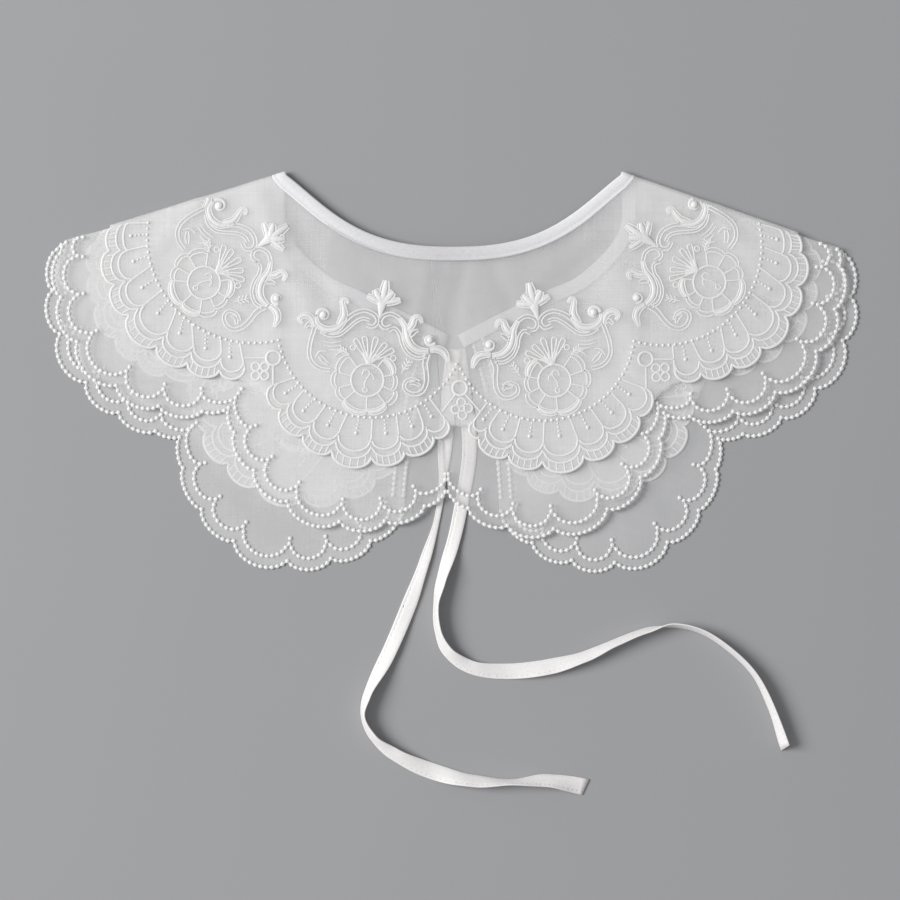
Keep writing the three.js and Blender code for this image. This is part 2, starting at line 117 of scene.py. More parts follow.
# A lobe is a round bay of scallops on one arc, listed from the shoulder fold to the middle: the
# valleys that it runs between, and the arc's rise over their chord. A lace lobe has a second arc
# inside, of small round stitches, and its hem may turn in from the arc to a corner at either end.
Lobe = namedtuple("Lobe", "start end rise corner", defaults=[False])
BEADED_LOBES = {
    ("left", "back"): [
        Lobe((-191.8, 73.3), (-111.0, -16.6), 36.0),
        Lobe((-111.0, -16.6), (-2.9, -58.5), 34.6),
    ],
    ("right", "back"): [
        Lobe((192.0, 67.0), (106.2, -19.3), 33.5),
        Lobe((106.2, -19.3), (-1.5, -58.5), 37.0),
    ],
    ("left", "front"): [
        Lobe((-192.8, 74.3), (-135.8, -31.3), 29.5),
        Lobe((-135.8, -31.3), (-24.3, -67.3), 43.5, True),
    ],
    ("right", "front"): [
        Lobe((192.3, 71.3), (133.4, -32.0), 31.0),
        Lobe((133.4, -32.0), (24.8, -68.3), 43.5, True),
    ],
}
LaceLobe = namedtuple(
    "LaceLobe", "start end rise bead_start bead_end bead_rise first_corner last_corner",
    defaults=[None, None],
)
LACE_LOBES = {
    ("left", "back"): [
        LaceLobe(
            (-168.5, 76.5), (-100.0, 2.5), 27.0, (-151.2, 75.5), (-86.2, 17.0), 23.0,
            last_corner=(-103.0, 2.8),
        ),
        LaceLobe(
            (-91.0, -4.5), (1.6, -20.3), 28.8, (-86.2, 17.0), (2.6, 5.0), 32.5,
            first_corner=(-89.2, -5.6), last_corner=(-1.8, -24.0),
        ),
    ],
    ("right", "back"): [
        LaceLobe(
            (170.8, 74.3), (110.0, 0.4), 26.0, (153.5, 75.0), (91.0, 16.5), 24.5,
            last_corner=(111.3, 2.3),
        ),
        LaceLobe(
            (100.0, -7.6), (3.4, -20.5), 29.2, (91.0, 16.5), (4.6, 2.6), 32.5,
            first_corner=(97.6, -7.4), last_corner=(10.6, -24.0),
        ),
    ],
    ("left", "front"): [
        LaceLobe((-171.8, 78.3), (-128.8, -1.8), 24.5, (-153.5, 74.5), (-108.0, 5.0), 22.0),
        LaceLobe((-127.3, -12.8), (-25.5, -40.3), 33.5, (-108.0, 5.0), (-18.5, -14.0), 35.0),
    ],
    ("right", "front"): [
        LaceLobe((176.0, 75.5), (124.3, 1.3), 25.0, (157.5, 72.5), (104.0, 8.0), 23.0),
        LaceLobe((119.3, -10.3), (26.3, -38.8), 33.0, (104.0, 8.0), (19.5, -13.0), 34.0),
    ],
}
LACE_SEAM_END = {"left": (2.5, -25.0), "right": (2.55, -25.0)}  # foot of the upper tier's seam

# Where each tier's shoulder fold reaches the hem, as a distance from the middle of the neck.
FOLD_END_REACH = {
    ("beaded", "left"): 194.0,
    ("beaded", "right"): 192.5,
    ("lace", "left"): 171.0,
    ("lace", "right"): 171.5,
}

# Height of the middle of each layer over the surface.
LEVEL = {
    ("lace", "front"): 0.5,
    ("beaded", "front"): 1.8,
    ("beaded", "back"): 3.1,
    ("lace", "back"): 4.4,
}
BINDING_LEVEL = {"front": 1.15, "back": 3.75}
DROP_START = 1.0  # how far outside the lace the beaded front starts to come down
DROP_END = 10.0  # and where it lies on the surface

# ---- sewing details, in millimetres --------------------------------------------------------

HEM_STEPS = 10  # mesh steps along a scallop
NOTCH_STEPS = 3  # steps left out at a valley's corners
CLOTH_ROWS = 40  # mesh steps from the neck to the hem
FOLD_STEPS = 6  # mesh steps round a shoulder fold
STITCH_FLATNESS = 0.5  # height of a raised round stitch over its width
THREAD_FLATNESS = 0.4  # the same for a thin line of thread; a wide one is flatter
WIDE_THREAD = 1.6  # half width at which a line is half as high again for its width
CORD_THREAD = 0.5  # half the width of the cord along a scroll's sides
CORD_REACH = 0.9  # from the middle of a scroll to its cords, over its half width
CORDED_FROM = 0.7  # half width over which a line is corded
SATIN_FROM = 1.3  # half width from which a scroll is filled with satin
SATIN_SHARE = 0.7  # width of that satin over the scroll's
UNDERLAY_THREAD = 0.45  # half the width of the thread that runs under a line of stitches
INNER_CUSP_DEPTH = 8.8  # from an outer cusp to the inner line's cusp
INNER_APEX_DEPTH = 5.8  # from an outer scallop's top to the inner one's
OPENING_LINE_GAP = 5.2  # between the two lines along the front opening
SEAM_THREAD = 0.07  # half the width of the centre-back seam's line
SPUR_REACH = 2.6  # the odd stitch that points in from an inner cusp
BINDING_THICKNESS = 1.9
BINDING_STEPS = 40  # sections along each quarter of the neckline
THREAD_STEP = 0.8  # longest step along an embroidered line

# Lace border: depths are measured inwards from the outermost line.
SPOKE_SHARES = (0.173, 0.24, 0.351, 0.449, 0.557, 0.66, 0.753, 0.816)
FOLD_SPOKE_SHARES = (0.0, 0.11, 0.21, 0.34, 0.46, 0.56, 0.715, 0.81)
LACE_OUTER_THREAD = 0.8  # half the width of the border's outermost line
LACE_LINE_THREAD = 0.64
LACE_SPOKE_THREAD = 0.56
LACE_BAR_THREAD = 0.42
SPOKE_END_DEPTH = 8.6
MIDDLE_CUSP_DEPTH = 5.4
MIDDLE_APEX_DEPTH = 4.8
INNER_LACE_CUSP_DEPTH = 9.0
INNER_LACE_APEX_DEPTH = 8.4
END_CUSP_DEPTH = 6.0  # the one line inside a scallop at a lobe's corner
END_APEX_DEPTH = 3.4
END_SPOKE_DEPTH = 2.8
BAR_SHARES = (0.2, 0.35, 0.5, 0.65, 0.8)
ROUND_POWER = 0.55  # scallops of the lace are rounder than a parabola
SOFT_POWER = 0.7
ELLIPSE_POWER = 0.5
PETAL_DOTS = ((1.9, 0.6), (3.9, 0.65), (5.8, 0.7), (8.2, 1.05))  # reach, radius
SMALL_BEAD_PITCH = 2.95
SMALL_BEAD_RADIUS = 0.9

# Valley motifs of the lace: a ring and a flower of four rings, between two lobes, and two arms
# that hold the ring.
Valley = namedtuple("Valley", "side half ring flower arms")
VALLEYS = [
    Valley("left", "back", (-88.7, 8.2), (-95.3, 1.6), [(-103.4, 8.2), (-88.8, -5.4)]),
    Valley("right", "back", (4.25, -6.9), (5.3, -17.2), [(-4.6, -18.8), (14.4, -18.6)]),
    Valley("right", "back", (96.9, 7.6), (104.4, 0.9), [(111.5, 7.4), (97.2, -7.2)]),
    Valley("left", "front", (-112.0, -3.5), (-120.5, -8.0), [(-127.6, -2.6), (-125.8, -12.0)]),
    Valley("right", "front", (108.5, -0.5), (116.0, -6.0), [(123.0, 0.4), (118.4, -9.4)]),
]
VALLEY_RING = 3.65
FLOWER_RING = 2.1
FLOWER_SPREAD = 3.2

# Medallion, in its own frame: the flower's middle is at 0, 0 and up is towards the neck.
# A stroke is a satin-stitched line: its points, and its half widths along it.
Stroke = namedtuple("Stroke", "points widths")
Medallion = namedtuple("Medallion", "side half centre turn")  # turned clockwise, in degrees
MEDALLIONS = [
    Medallion("left", "back", (-123.2, 45.6), 45.0),
    Medallion("left", "back", (-41.8, -2.9), 0.0),
    Medallion("right", "back", (51.5, -3.2), -4.0),
    Medallion("right", "back", (128.8, 46.0), -45.0),
    Medallion("left", "front", (-138.0, 45.0), 54.0),
    Medallion("left", "front", (-75.0, -21.8), 6.0),
    Medallion("right", "front", (71.2, -19.4), -8.0),
    Medallion("right", "front", (139.0, 46.0), -50.0),
]
SCROLLS = [
    # left frame, and the hooked leaf inside it
    Stroke([(-26.2, 26.4), (-28.6, 18.0), (-28.6, 11.0), (-24.6, 6.2), (-18.6, 4.8)], [0.9]),
    Stroke([(-26.0, 11.0), (-24.0, 14.2), (-20.4, 14.4)], [0.4, 0.6, 0.4]),
    Stroke([(-24.0, 12.4), (-22.0, 10.0), (-19.6, 8.0)], [0.6, 1.2, 0.6]),
    # three short lines under the left scroll
    Stroke([(-22.6, 19.6), (-17.6, 18.6), (-12.6, 19.4)], [0.3, 0.5, 0.3]),
    Stroke([(-22.0, 17.6), (-17.4, 16.8), (-13.0, 17.4)], [0.3, 0.5, 0.3]),
    Stroke([(-18.6, 15.4), (-16.2, 15.0), (-13.6, 15.4)], [0.3, 0.5, 0.3]),
    # curled leaf at the left shoulder
    Stroke(
        [(-32.4, 28.0), (-34.0, 30.6), (-31.2, 32.4), (-27.8, 30.8), (-26.4, 26.4)],
        [0.5, 1.2, 1.7, 1.6, 0.8],
    ),
    Stroke([(-31.0, 26.0), (-29.0, 28.2), (-26.8, 26.6)], [0.4, 1.1, 0.6]),
    # thick scroll from the left volute, and the thin one that it runs out into
    Stroke(
        [(-25.8, 31.6), (-24.6, 27.6), (-20.0, 25.0), (-15.0, 25.8), (-11.2, 29.4)],
        [0.9, 1.4, 1.9, 1.8, 0.9],
    ),
    Stroke(
        [(-11.2, 29.4), (-7.2, 32.8), (-1.6, 34.6), (3.4, 32.8), (5.2, 29.4), (2.8, 26.6),
         (-0.6, 27.6)],
        [0.9],
    ),
    Stroke(
        [(-23.4, 24.6), (-19.0, 22.2), (-14.0, 22.6), (-9.8, 25.6), (-5.8, 29.0), (-2.2, 30.6),
         (1.2, 29.8)],
        [0.75],
    ),
    # leaf that stands on the left scroll
    Stroke(
        [(-14.6, 27.6), (-11.8, 31.8), (-12.0, 36.0), (-12.6, 39.2), (-10.8, 40.2), (-9.6, 38.2)],
        [1.0, 2.1, 1.8, 1.3, 1.1, 0.5],
    ),
    # thin scroll to the right of the middle, and the thick one that it runs into
    Stroke(
        [(12.0, 26.8), (8.4, 26.0), (6.4, 28.6), (7.8, 31.8), (12.0, 33.0), (16.0, 31.0)], [0.85]
    ),
    Stroke(
        [(16.0, 31.0), (18.6, 26.8), (19.6, 21.8), (21.6, 17.6), (25.4, 14.8), (30.4, 14.4)],
        [0.9, 1.4, 1.9, 2.0, 1.8, 1.2],
    ),
    Stroke(
        [(10.4, 24.4), (13.6, 25.8), (16.2, 22.6), (17.2, 18.2), (20.0, 13.4), (25.0, 10.8),
         (29.2, 11.8)],
        [0.75],
    ),
    # leaves that stand on the right scroll
    Stroke(
        [(19.8, 24.6), (22.4, 27.8), (23.4, 30.8), (26.0, 31.2), (27.2, 28.4)],
        [1.0, 1.8, 1.6, 1.2, 0.5],
    ),
    Stroke([(21.0, 21.2), (23.4, 24.0), (25.4, 24.6)], [0.6, 1.2, 0.5]),
    # hooked leaf at the right end
    Stroke([(31.0, 14.8), (35.0, 15.4), (38.4, 13.6), (40.4, 9.0)], [1.0, 1.9, 1.7, 0.6]),
    # right frame, its curl and the leaf inside it
    Stroke(
        [(30.0, 13.0), (28.8, 8.4), (29.4, 3.0), (29.2, -2.0), (27.0, -6.0), (22.8, -7.0),
         (18.8, -4.8), (18.8, -1.2), (22.4, 0.6), (26.0, -0.8)],
        [1.3, 1.2, 1.1, 1.1, 1.0, 1.0, 0.9, 0.8, 0.7, 0.5],
    ),
    Stroke([(21.0, -1.8), (23.8, -1.4), (26.2, -3.0)], [0.5, 1.0, 0.5]),
    # arc over the left petals
    Stroke([(-16.0, 12.2), (-12.6, 14.6), (-9.2, 12.8)], [0.4, 0.7, 0.4]),
    # curls inside the flower's ring
    Stroke(
        [(-2.6, 2.6), (-1.8, 4.8), (0.4, 5.0), (1.0, 3.0), (-0.6, 0.4), (-1.6, -2.2),
         (-1.0, -3.8)],
        [0.45],
    ),
    Stroke([(1.4, 3.4), (2.8, 2.2), (3.0, 0.4)], [0.45]),
]
Volute = namedtuple("Volute", "centre radius first_turn turns width")
VOLUTES = [
    Volute((-21.9, 32.6), 3.2, 180.0, 1.3, 1.2),
    Volute((31.2, 20.0), 2.9, -30.0, 1.3, 1.1),
]
VOLUTE_HEART = 0.62  # radius of the raised middle, over the volute's
Leaf = namedtuple("Leaf", "turn length width")  # turn is in degrees from straight up
PALMETTE_FOOT = (6.2, 31.6)
PALMETTE_HEART = (7.4, 38.2)
PALMETTE = [
    Leaf(-62.0, 8.6, 1.8),
    Leaf(-28.0, 8.0, 2.5),
    Leaf(10.0, 11.6, 2.4),
    Leaf(44.0, 8.0, 2.5),
    Leaf(80.0, 9.2, 1.8),
]
PALMETTE_STALK = [0.7, 1.8, 3.0]  # half widths, from its foot to its heart
FLOWER_RADIUS = 8.2
PETAL_CUSP = 0.92  # how far out neighbouring petals meet, over their reach
Petal = namedtuple("Petal", "first last reach edge")  # turns in degrees, edge is a half width
PETALS = [
    Petal(128.0, 165.0, 16.2, 1.2),
    Petal(165.0, 195.0, 17.2, 1.0),
    Petal(195.0, 221.0, 16.2, 1.1),
    Petal(221.0, 268.0, 16.8, 1.7),
    Petal(268.0, 307.0, 16.2, 1.7),
    Petal(307.0, 338.0, 16.2, 1.2),
    Petal(338.0, 372.0, 14.2, 1.0),
    Petal(372.0, 412.0, 14.0, 1.7),
]
STAMEN_FOOT = (0.6, 8.4)
STAMENS = [(-29.0, 13.8), (-9.0, 13.4), (17.0, 13.6), (42.0, 13.2), (62.0, 14.2)]  # turn, length
STAMEN_HALF_WIDTH = 1.2
STAMEN_THREAD = 0.5
STAMEN_ROOT = [1.5, 1.1, 0.5]  # half widths of the thick lower half
SMALL_RINGS = [((-7.3, 16.2), 1.3), ((12.9, 11.0), 1.4), ((-1.2, -4.9), 1.2)]
SMALL_RING_THREAD = 0.45
SPRIGS = [((17.0, 3.6), -32.0, 7.6), ((-9.0, 12.6), 58.0, 6.0)]  # foot, turn, length
SPRIG_LEAVES = 3

# Ties: each row is a point of the tape's middle line, its width there, how far it is tilted up
# onto one edge (degrees, over 90 where it has turned over), and how high its lower edge lies.
TieRow = namedtuple("TieRow", "x y width tilt lift")
TIE_WALL = 0.8
TIE_STEPS = 8  # mesh steps from one row to the next
TIE_ROWS = {
    "left": [
        TieRow(1.0, 12.5, 7.4, 0, 1.3),
        TieRow(-0.9, -6.0, 7.4, 0, 1.3),
        TieRow(-3.2, -34.3, 7.2, 0, 0.15),
        TieRow(-4.8, -55.8, 3.4, 0, 0),
        TieRow(-7.3, -72.8, 3.0, 0, 0),
        TieRow(-13.6, -93.8, 5.4, -14, 0),
        TieRow(-21.9, -116.8, 7.5, -6, 0),
        TieRow(-31.7, -139.8, 7.5, -18, 0),
        TieRow(-42.0, -159.8, 7.5, -60, 0),
        TieRow(-44.2, -170.5, 7.5, -76, 0),
        TieRow(-39.0, -181.3, 7.5, -62, 0),
        TieRow(-28.2, -189.8, 7.5, -30, 0),
        TieRow(-9.8, -198.2, 8.2, 0, 0),
        TieRow(10.0, -202.8, 7.5, 42, 0),
        TieRow(29.8, -203.5, 7.5, 76, 0),
        TieRow(48.3, -202.8, 7.5, 38, 0),
        TieRow(67.0, -206.2, 8.4, 0, 0),
    ],
    "right": [
        TieRow(3.4, 12.5, 7.4, 0, 0),
        TieRow(6.4, -10.0, 7.4, 0, 0),
        TieRow(9.0, -37.3, 7.2, 0, 0),
        TieRow(5.3, -63.3, 6.8, 0, 0),
        TieRow(1.0, -83.3, 6.6, -10, 0),
        TieRow(-5.3, -103.3, 7.5, -52, 0),
        TieRow(-7.7, -115.3, 7.5, -72, 0),
        TieRow(-6.8, -127.8, 7.5, -66, 0),
        TieRow(-2.0, -138.3, 7.5, -46, 0),
        TieRow(10.0, -146.3, 7.0, -14, 0),
        TieRow(26.8, -148.4, 7.8, 0, 0),
        TieRow(48.3, -146.1, 8.2, 22, 0),
        TieRow(66.8, -140.8, 7.5, 48, 0),
        TieRow(82.0, -133.8, 7.5, 66, 0),
        TieRow(97.3, -127.8, 7.5, 74, 0),
        TieRow(111.0, -125.3, 7.5, 106, 0),
        TieRow(124.8, -128.3, 7.5, 106, 0),
        TieRow(138.8, -137.3, 7.5, 106, 0),
        TieRow(151.2, -149.8, 7.5, 106, 0),
        TieRow(159.6, -166.3, 7.5, 112, 0),
        TieRow(166.6, -186.4, 7.5, 125, 0),
    ],
}

# Half heights of a tape's section, over half its thickness, at shares of its width.
BINDING_SECTION = (
    (0.0, 0.35),
    (0.03, 0.72),
    (0.12, 0.95),
    (0.4, 1.0),
    (0.68, 0.98),
    (0.76, 0.8),
    (0.84, 0.96),
    (0.94, 0.94),
    (1.0, 0.8),
)
TIE_SECTION = (
    (-1.0, 0.45),
    (-0.94, 0.9),
    (-0.5, 1.0),
    (0.2, 1.0),
    (0.52, 0.95),
    (0.62, 0.55),
    (0.72, 0.95),
    (0.94, 0.9),
    (1.0, 0.45),
)
TIE_STITCH_SHARE = 0.62
TIE_STITCH_PITCH = 2.8
TIE_STITCH_SIZE = (0.27, 0.95, 0.24)  # half its width, length and height
END_SLANT = 1.0  # how far one corner of a tie's cut end runs past its middle

FOLD_ALLOWANCE = 0.4  # how far past a shoulder fold stitches may show

# ---- stage ---------------------------------------------------------------------------------

FLOOR_HALF_WIDTH = 2.0
KEY_PLACE = (-3.2, 0.5, 2.6)
KEY_SIZE = 2.4
CAMERA_PLACE = (-0.00075, -0.03775, 1.5)
CAMERA_LENS = 120.0
CAMERA_SENSOR = 36.0
SHEER_BOUNCES = 48  # faces of sheer cloth that a ray may pass
CLOTH_BOUNCES = 14  # times that light may bounce between the layers

# Creases: soft ridges (height over 0) and troughs (under 0) from one point to another.
Crease = namedtuple("Crease", "start end width height")
CREASES = [
    Crease((-150.0, 60.0), (-128.0, 84.0), 5.0, 0.6),
    Crease((-96.0, 88.0), (-72.0, 36.0), 6.0, 0.8),
    Crease((-80.0, 84.0), (-62.0, 40.0), 5.0, -0.6),
    Crease((-86.0, 30.0), (-92.0, -8.0), 6.0, 0.6),
    Crease((-56.0, 70.0), (-24.0, 44.0), 6.0, 0.7),
    Crease((-12.0, 50.0), (-20.0, 18.0), 5.0, 0.7),
    Crease((6.0, 56.0), (-2.0, 14.0), 5.0, -0.6),
    Crease((22.0, 50.0), (30.0, 34.0), 5.0, -0.5),
    Crease((70.0, 70.0), (46.0, 48.0), 6.0, 0.7),
    Crease((86.0, 44.0), (92.0, 4.0), 6.0, 0.7),
    Crease((98.0, 86.0), (78.0, 42.0), 6.0, 0.6),
    Crease((150.0, 60.0), (132.0, 80.0), 5.0, 0.6),
    Crease((-112.0, 16.0), (-134.0, 8.0), 5.0, -0.5),
    Crease((116.0, 18.0), (140.0, 10.0), 5.0, -0.5),
    Crease((-70.0, -46.0), (-40.0, -60.0), 6.0, 0.5),
    Crease((46.0, -56.0), (78.0, -42.0), 6.0, 0.5),
    Crease((-150.0, 30.0), (-172.0, 42.0), 6.0, 0.5),
    Crease((158.0, 34.0), (178.0, 44.0), 6.0, -0.5),
]
RELIEF_SHARE = {
    ("lace", "back"): 1.0,
    ("beaded", "back"): 0.8,
    ("beaded", "front"): 0.35,
    ("lace", "front"): 0.0,
}


# ---- plan geometry -------------------------------------------------------------------------

def outward(side):
    """-1 on the left, 1 on the right."""
    return -1 if side == "left" else 1


def fold_frame(side):
    """Unit directions along a shoulder fold, outwards, and square to it, off the cloth."""
    out = outward(side)
    along = Vector((out, -FOLD_FALL[side])).normalized()
    return along, Vector((-along.y * out, along.x * out))


def fold_point(side, distance):
    along, _ = fold_frame(side)
    return Vector((CENTRE_X + outward(side) * NECK_HALF, NECK_TOP_Y)) + along * distance


def fold_end(side, reach):
    """The point of the shoulder fold that lies `reach` to the side of the neckline's middle."""
    along, _ = fold_frame(side)
    return fold_point(side, (reach - NECK_HALF) / abs(along.x))


def smooth_line(points, steps=8):
    """A Catmull-Rom line through a few points of any size, its ends kept."""
    points = [Vector(p) for p in points]
    ends = [points[0], *points, points[-1]]
    line = []
    for before, start, end, after in zip(ends, ends[1:], ends[2:], ends[3:]):
        for k in range(steps):
            t = k / steps
            line.append(0.5 * (
                2 * start
                + (end - before) * t
                + (2 * before - 5 * start + 4 * end - after) * t ** 2
                + (3 * start - before - 3 * end + after) * t ** 3
            ))
    return [*line, points[-1]]


class Line:
    """A line of points that is read by the share of its length."""

    def __init__(self, points):
        self.points = [Vector(p) for p in points]
        self.reach = [0.0]
        for a, b in zip(self.points, self.points[1:]):
            self.reach.append(self.reach[-1] + (b - a).length)
        self.length = self.reach[-1]

    def at(self, share):
        goal = min(max(share, 0.0), 1.0) * self.length
        for a, b, low, high in zip(self.points, self.points[1:], self.reach, self.reach[1:]):
            if goal <= high and high > low:
                return a.lerp(b, (goal - low) / (high - low))
        return self.points[-1].copy()

    def heading(self, share):
        step = 0.004
        return (self.at(share + step) - self.at(share - step)).normalized()

    def evenly(self, pitch):
        """Points about `pitch` apart, from the start to just short of the end."""
        count = max(1, round(self.length / pitch))
        return [self.at(k / count) for k in range(count)]


class Arc:
    """A round arc between two points, bulging out of the cloth by its rise."""

    def __init__(self, side, start, end, rise):
        start, end = Vector(start), Vector(end)
        chord = end - start
        half = chord.length / 2
        self.sign = -outward(side)
        self.radius = (half ** 2 + rise ** 2) / (2 * rise)
        self.normal = Vector((chord.y, -chord.x)).normalized() * self.sign
        self.centre = (start + end) / 2 + self.normal * (rise - self.radius)
        self.turn = 2 * math.atan2(half, self.radius - rise)

    def at(self, share, grow=0.0):
        spoke = self.normal * (self.radius + grow)
        return self.centre + Matrix.Rotation((share - 0.5) * self.turn * self.sign, 2) @ spoke

    def inwards(self, point):
        return (self.centre - point).normalized()


def neckline(side, half, inset):
    """Line of the neck edge from the shoulder fold (0) to the middle (1), moved outwards."""
    out = outward(side)
    tip = fold_point(side, inset)
    if half == "back":
        middle = SEAM_TOP_X - CENTRE_X

        def height(reach):
            share = abs(reach) / NECK_HALF
            pull = SHOULDER_PULL * share ** PULL_POWER * (1 - share)
            return NECK_LOW_Y + (NECK_TOP_Y - NECK_LOW_Y) * (share ** NECK_POWER + pull)

        def back_point(t):
            if t == 0:
                return tip
            reach = NECK_HALF + (out * middle - NECK_HALF) * t ** BACK_NECK_POWER
            slope = (height(reach + SLOPE_STEP) - height(reach - SLOPE_STEP)) / (2 * SLOPE_STEP)
            square = Vector((out * slope, -1.0)) / math.hypot(slope, 1)
            return Vector((CENTRE_X + out * reach, height(reach))) + square * inset

        return back_point
    curve = Line(smooth_line([(CENTRE_X + out * reach, y) for reach, y in FRONT_NECK], 24))
    along, _ = fold_frame(side)

    def front_point(t):
        if t == 0:
            return tip
        heading = curve.heading(t)
        square = Vector((-heading.y, heading.x)) * out
        return curve.at(t) + along.lerp(square, min(t / FOLD_REACH, 1)).normalized() * inset

    return front_point


def bulged(start, end, bulge, sign, power=SOFT_POWER, steps=HEM_STEPS):
    """Points of a scallop from one cusp to the next."""
    chord = end - start
    square = Vector((chord.y, -chord.x)) * sign
    shares = [k / steps for k in range(steps + 1)]
    return [start + chord * t + square * bulge * (4 * t * (1 - t)) ** power for t in shares]


def bulge_to(start, end, apex, sign):
    """Bulge of the scallop from `start` to `end` whose top is level with `apex`."""
    chord = end - start
    square = Vector((chord.y, -chord.x)) * sign
    return (apex - (start + end) / 2).dot(square) / chord.length_squared


# One scallop of a hem: its cusps, the way into the cloth at each, its bulge and its lobe.
Bay = namedtuple("Bay", "start end start_in end_in bulge lobe place")


def hem_bays(side, tier, half):
    """Scallops of a hem along its outermost stitches, from the shoulder fold to the middle."""
    lobes = (BEADED_LOBES if tier == "beaded" else LACE_LOBES)[side, half]
    along, _ = fold_frame(side)
    last = fold_end(side, FOLD_END_REACH[tier, side]) - along * HEM_MARGIN[tier]
    last_in = -along
    bays = []
    for number, lobe in enumerate(lobes):
        arc = Arc(side, lobe.start, lobe.end, lobe.rise)
        first, final = arc.at(0), arc.at(1)
        if tier == "lace":
            first = Vector(lobe.first_corner or first)
            final = Vector(lobe.last_corner or final)
        if number and (first - last).length > BINDING_WIDTH:
            bays.append(Bay(last, first, last_in, arc.inwards(first), VALLEY_BULGE, -1, 0))
            last, last_in = first, arc.inwards(first)
        elif number:
            last_in = (last_in + arc.inwards(last)).normalized()
            bays[-1] = bays[-1]._replace(end_in=last_in)
        row = LACE_SCALLOPS if tier == "lace" else BEADED_SCALLOPS
        if tier == "beaded" and lobe.corner:
            row = CORNER_SCALLOPS
        bulges = [scallop.bulge for scallop in row]
        if tier == "lace" and lobe.first_corner:
            bulges[0] = CORNER_BULGES[0]
        if tier == "lace" and lobe.last_corner:
            bulges[-1] = CORNER_BULGES[1]
        share = 0.0
        for place, (scallop, bulge) in enumerate(zip(row, bulges)):
            share += scallop.share
            cusp = arc.at(share) if place < len(row) - 1 else final
            bays.append(Bay(last, cusp, last_in, arc.inwards(cusp), bulge, number, place))
            last, last_in = cusp, arc.inwards(cusp)
    if (tier, half) == ("lace", "back"):
        foot = Vector(LACE_SEAM_END[side])
        bays.append(Bay(last, foot, last_in, last_in, SEAM_BULGE, -1, 0))
    if half == "back":
        last_in = Vector((0.0, 1.0))
    else:
        last_in = (last_in + Vector((outward(side), 0.2))).normalized()
    bays[-1] = bays[-1]._replace(end_in=last_in)
    return bays


def hemline(side, tier, half):
    """Points of the cut edge of a hem, outside its stitches; it cuts across a valley's corners."""
    margin = HEM_MARGIN[tier]
    power = ROUND_POWER if tier == "lace" else SOFT_POWER
    bays = hem_bays(side, tier, half)
    points = []
    for before, bay, after in zip([bays[0], *bays], bays, [*bays[1:], bays[-1]]):
        start = bay.start - bay.start_in * margin
        end = bay.end - bay.end_in * margin
        row = bulged(start, end, bay.bulge, -outward(side), power)
        low = NOTCH_STEPS if before.lobe != bay.lobe and -1 in (before.lobe, bay.lobe) else 1
        high = NOTCH_STEPS if after.lobe != bay.lobe and -1 in (after.lobe, bay.lobe) else 0
        points += row[low if points else 0:len(row) - high]
    return points


def columns_in_plan(side, tier, half):
    """Columns of plan points from the neck to the hem, from the shoulder fold to the middle."""
    neck = neckline(side, half, BINDING_WIDTH - BINDING_HOLD)
    hem = hemline(side, tier, half)
    columns = []
    for i, foot in enumerate(hem):
        across = i / (len(hem) - 1)
        top = neck(across * FRONT_NECK_SHARE if half == "front" else across)
        bow = outward(side) * OPENING_BOW * across ** BOW_POWER if half == "front" else 0.0
        column = []
        for j in range(CLOTH_ROWS + 1):
            t = j / CLOTH_ROWS
            column.append(top.lerp(foot, t) + Vector((bow * 4 * t * (1 - t), 0)))
        columns.append(column)
    if half == "back":
        columns[-1] = [point + Vector((outward(side) * SEAM_GAP / 2, 0)) for point in columns[-1]]
    return columns


# ---- heights -------------------------------------------------------------------------------

def smoothstep(low, high, value):
    t = min(max((value - low) / (high - low), 0.0), 1.0)
    return t * t * (3 - 2 * t)


FRONT_LACE_ARCS = {
    side: [Arc(side, lobe.start, lobe.end, lobe.rise) for lobe in LACE_LOBES[side, "front"]]
    for side in ("left", "right")
}


def outside_lace(side, point):
    """How far a point lies outside the lobes of the front lace."""
    return min((point - arc.centre).length - arc.radius for arc in FRONT_LACE_ARCS[side])


def relief(point):
    """Soft ridges and troughs that all the layers share, in millimetres."""
    total = 0.0
    for crease in CREASES:
        start, way = Vector(crease.start), Vector(crease.end) - Vector(crease.start)
        share = min(max((point - start).dot(way) / way.length_squared, 0.0), 1.0)
        aside = (point - start - way * share).length / crease.width
        total += crease.height * math.exp(-aside ** 2)
    return total


def cloth_height(side, tier, half, point):
    """Height of the middle of a cloth layer over the surface."""
    level = LEVEL[tier, half]
    if (tier, half) == ("beaded", "front"):
        drop = smoothstep(DROP_START, DROP_END, outside_lace(side, point))
        level += (LEVEL["lace", "front"] - level) * drop
    return level + relief(point) * RELIEF_SHARE[tier, half]


def on_cloth(side, tier, half, point, lift=0.0):
    """Place in metres of a plan point on a cloth layer."""
    height = cloth_height(side, tier, half, point) + lift
    return Vector((point.x, point.y, height)) * MM


# ---- meshes --------------------------------------------------------------------------------

def new_piece(name, mesh, materials):
    """Turns a bmesh into an object at the origin."""
    data = bpy.data.meshes.new(name)
    mesh.to_mesh(data)
    mesh.free()
    piece = bpy.data.objects.new(name, data)
    bpy.context.scene.collection.objects.link(piece)
    for material in materials:
        data.materials.append(material)
    data.shade_smooth()
    return piece


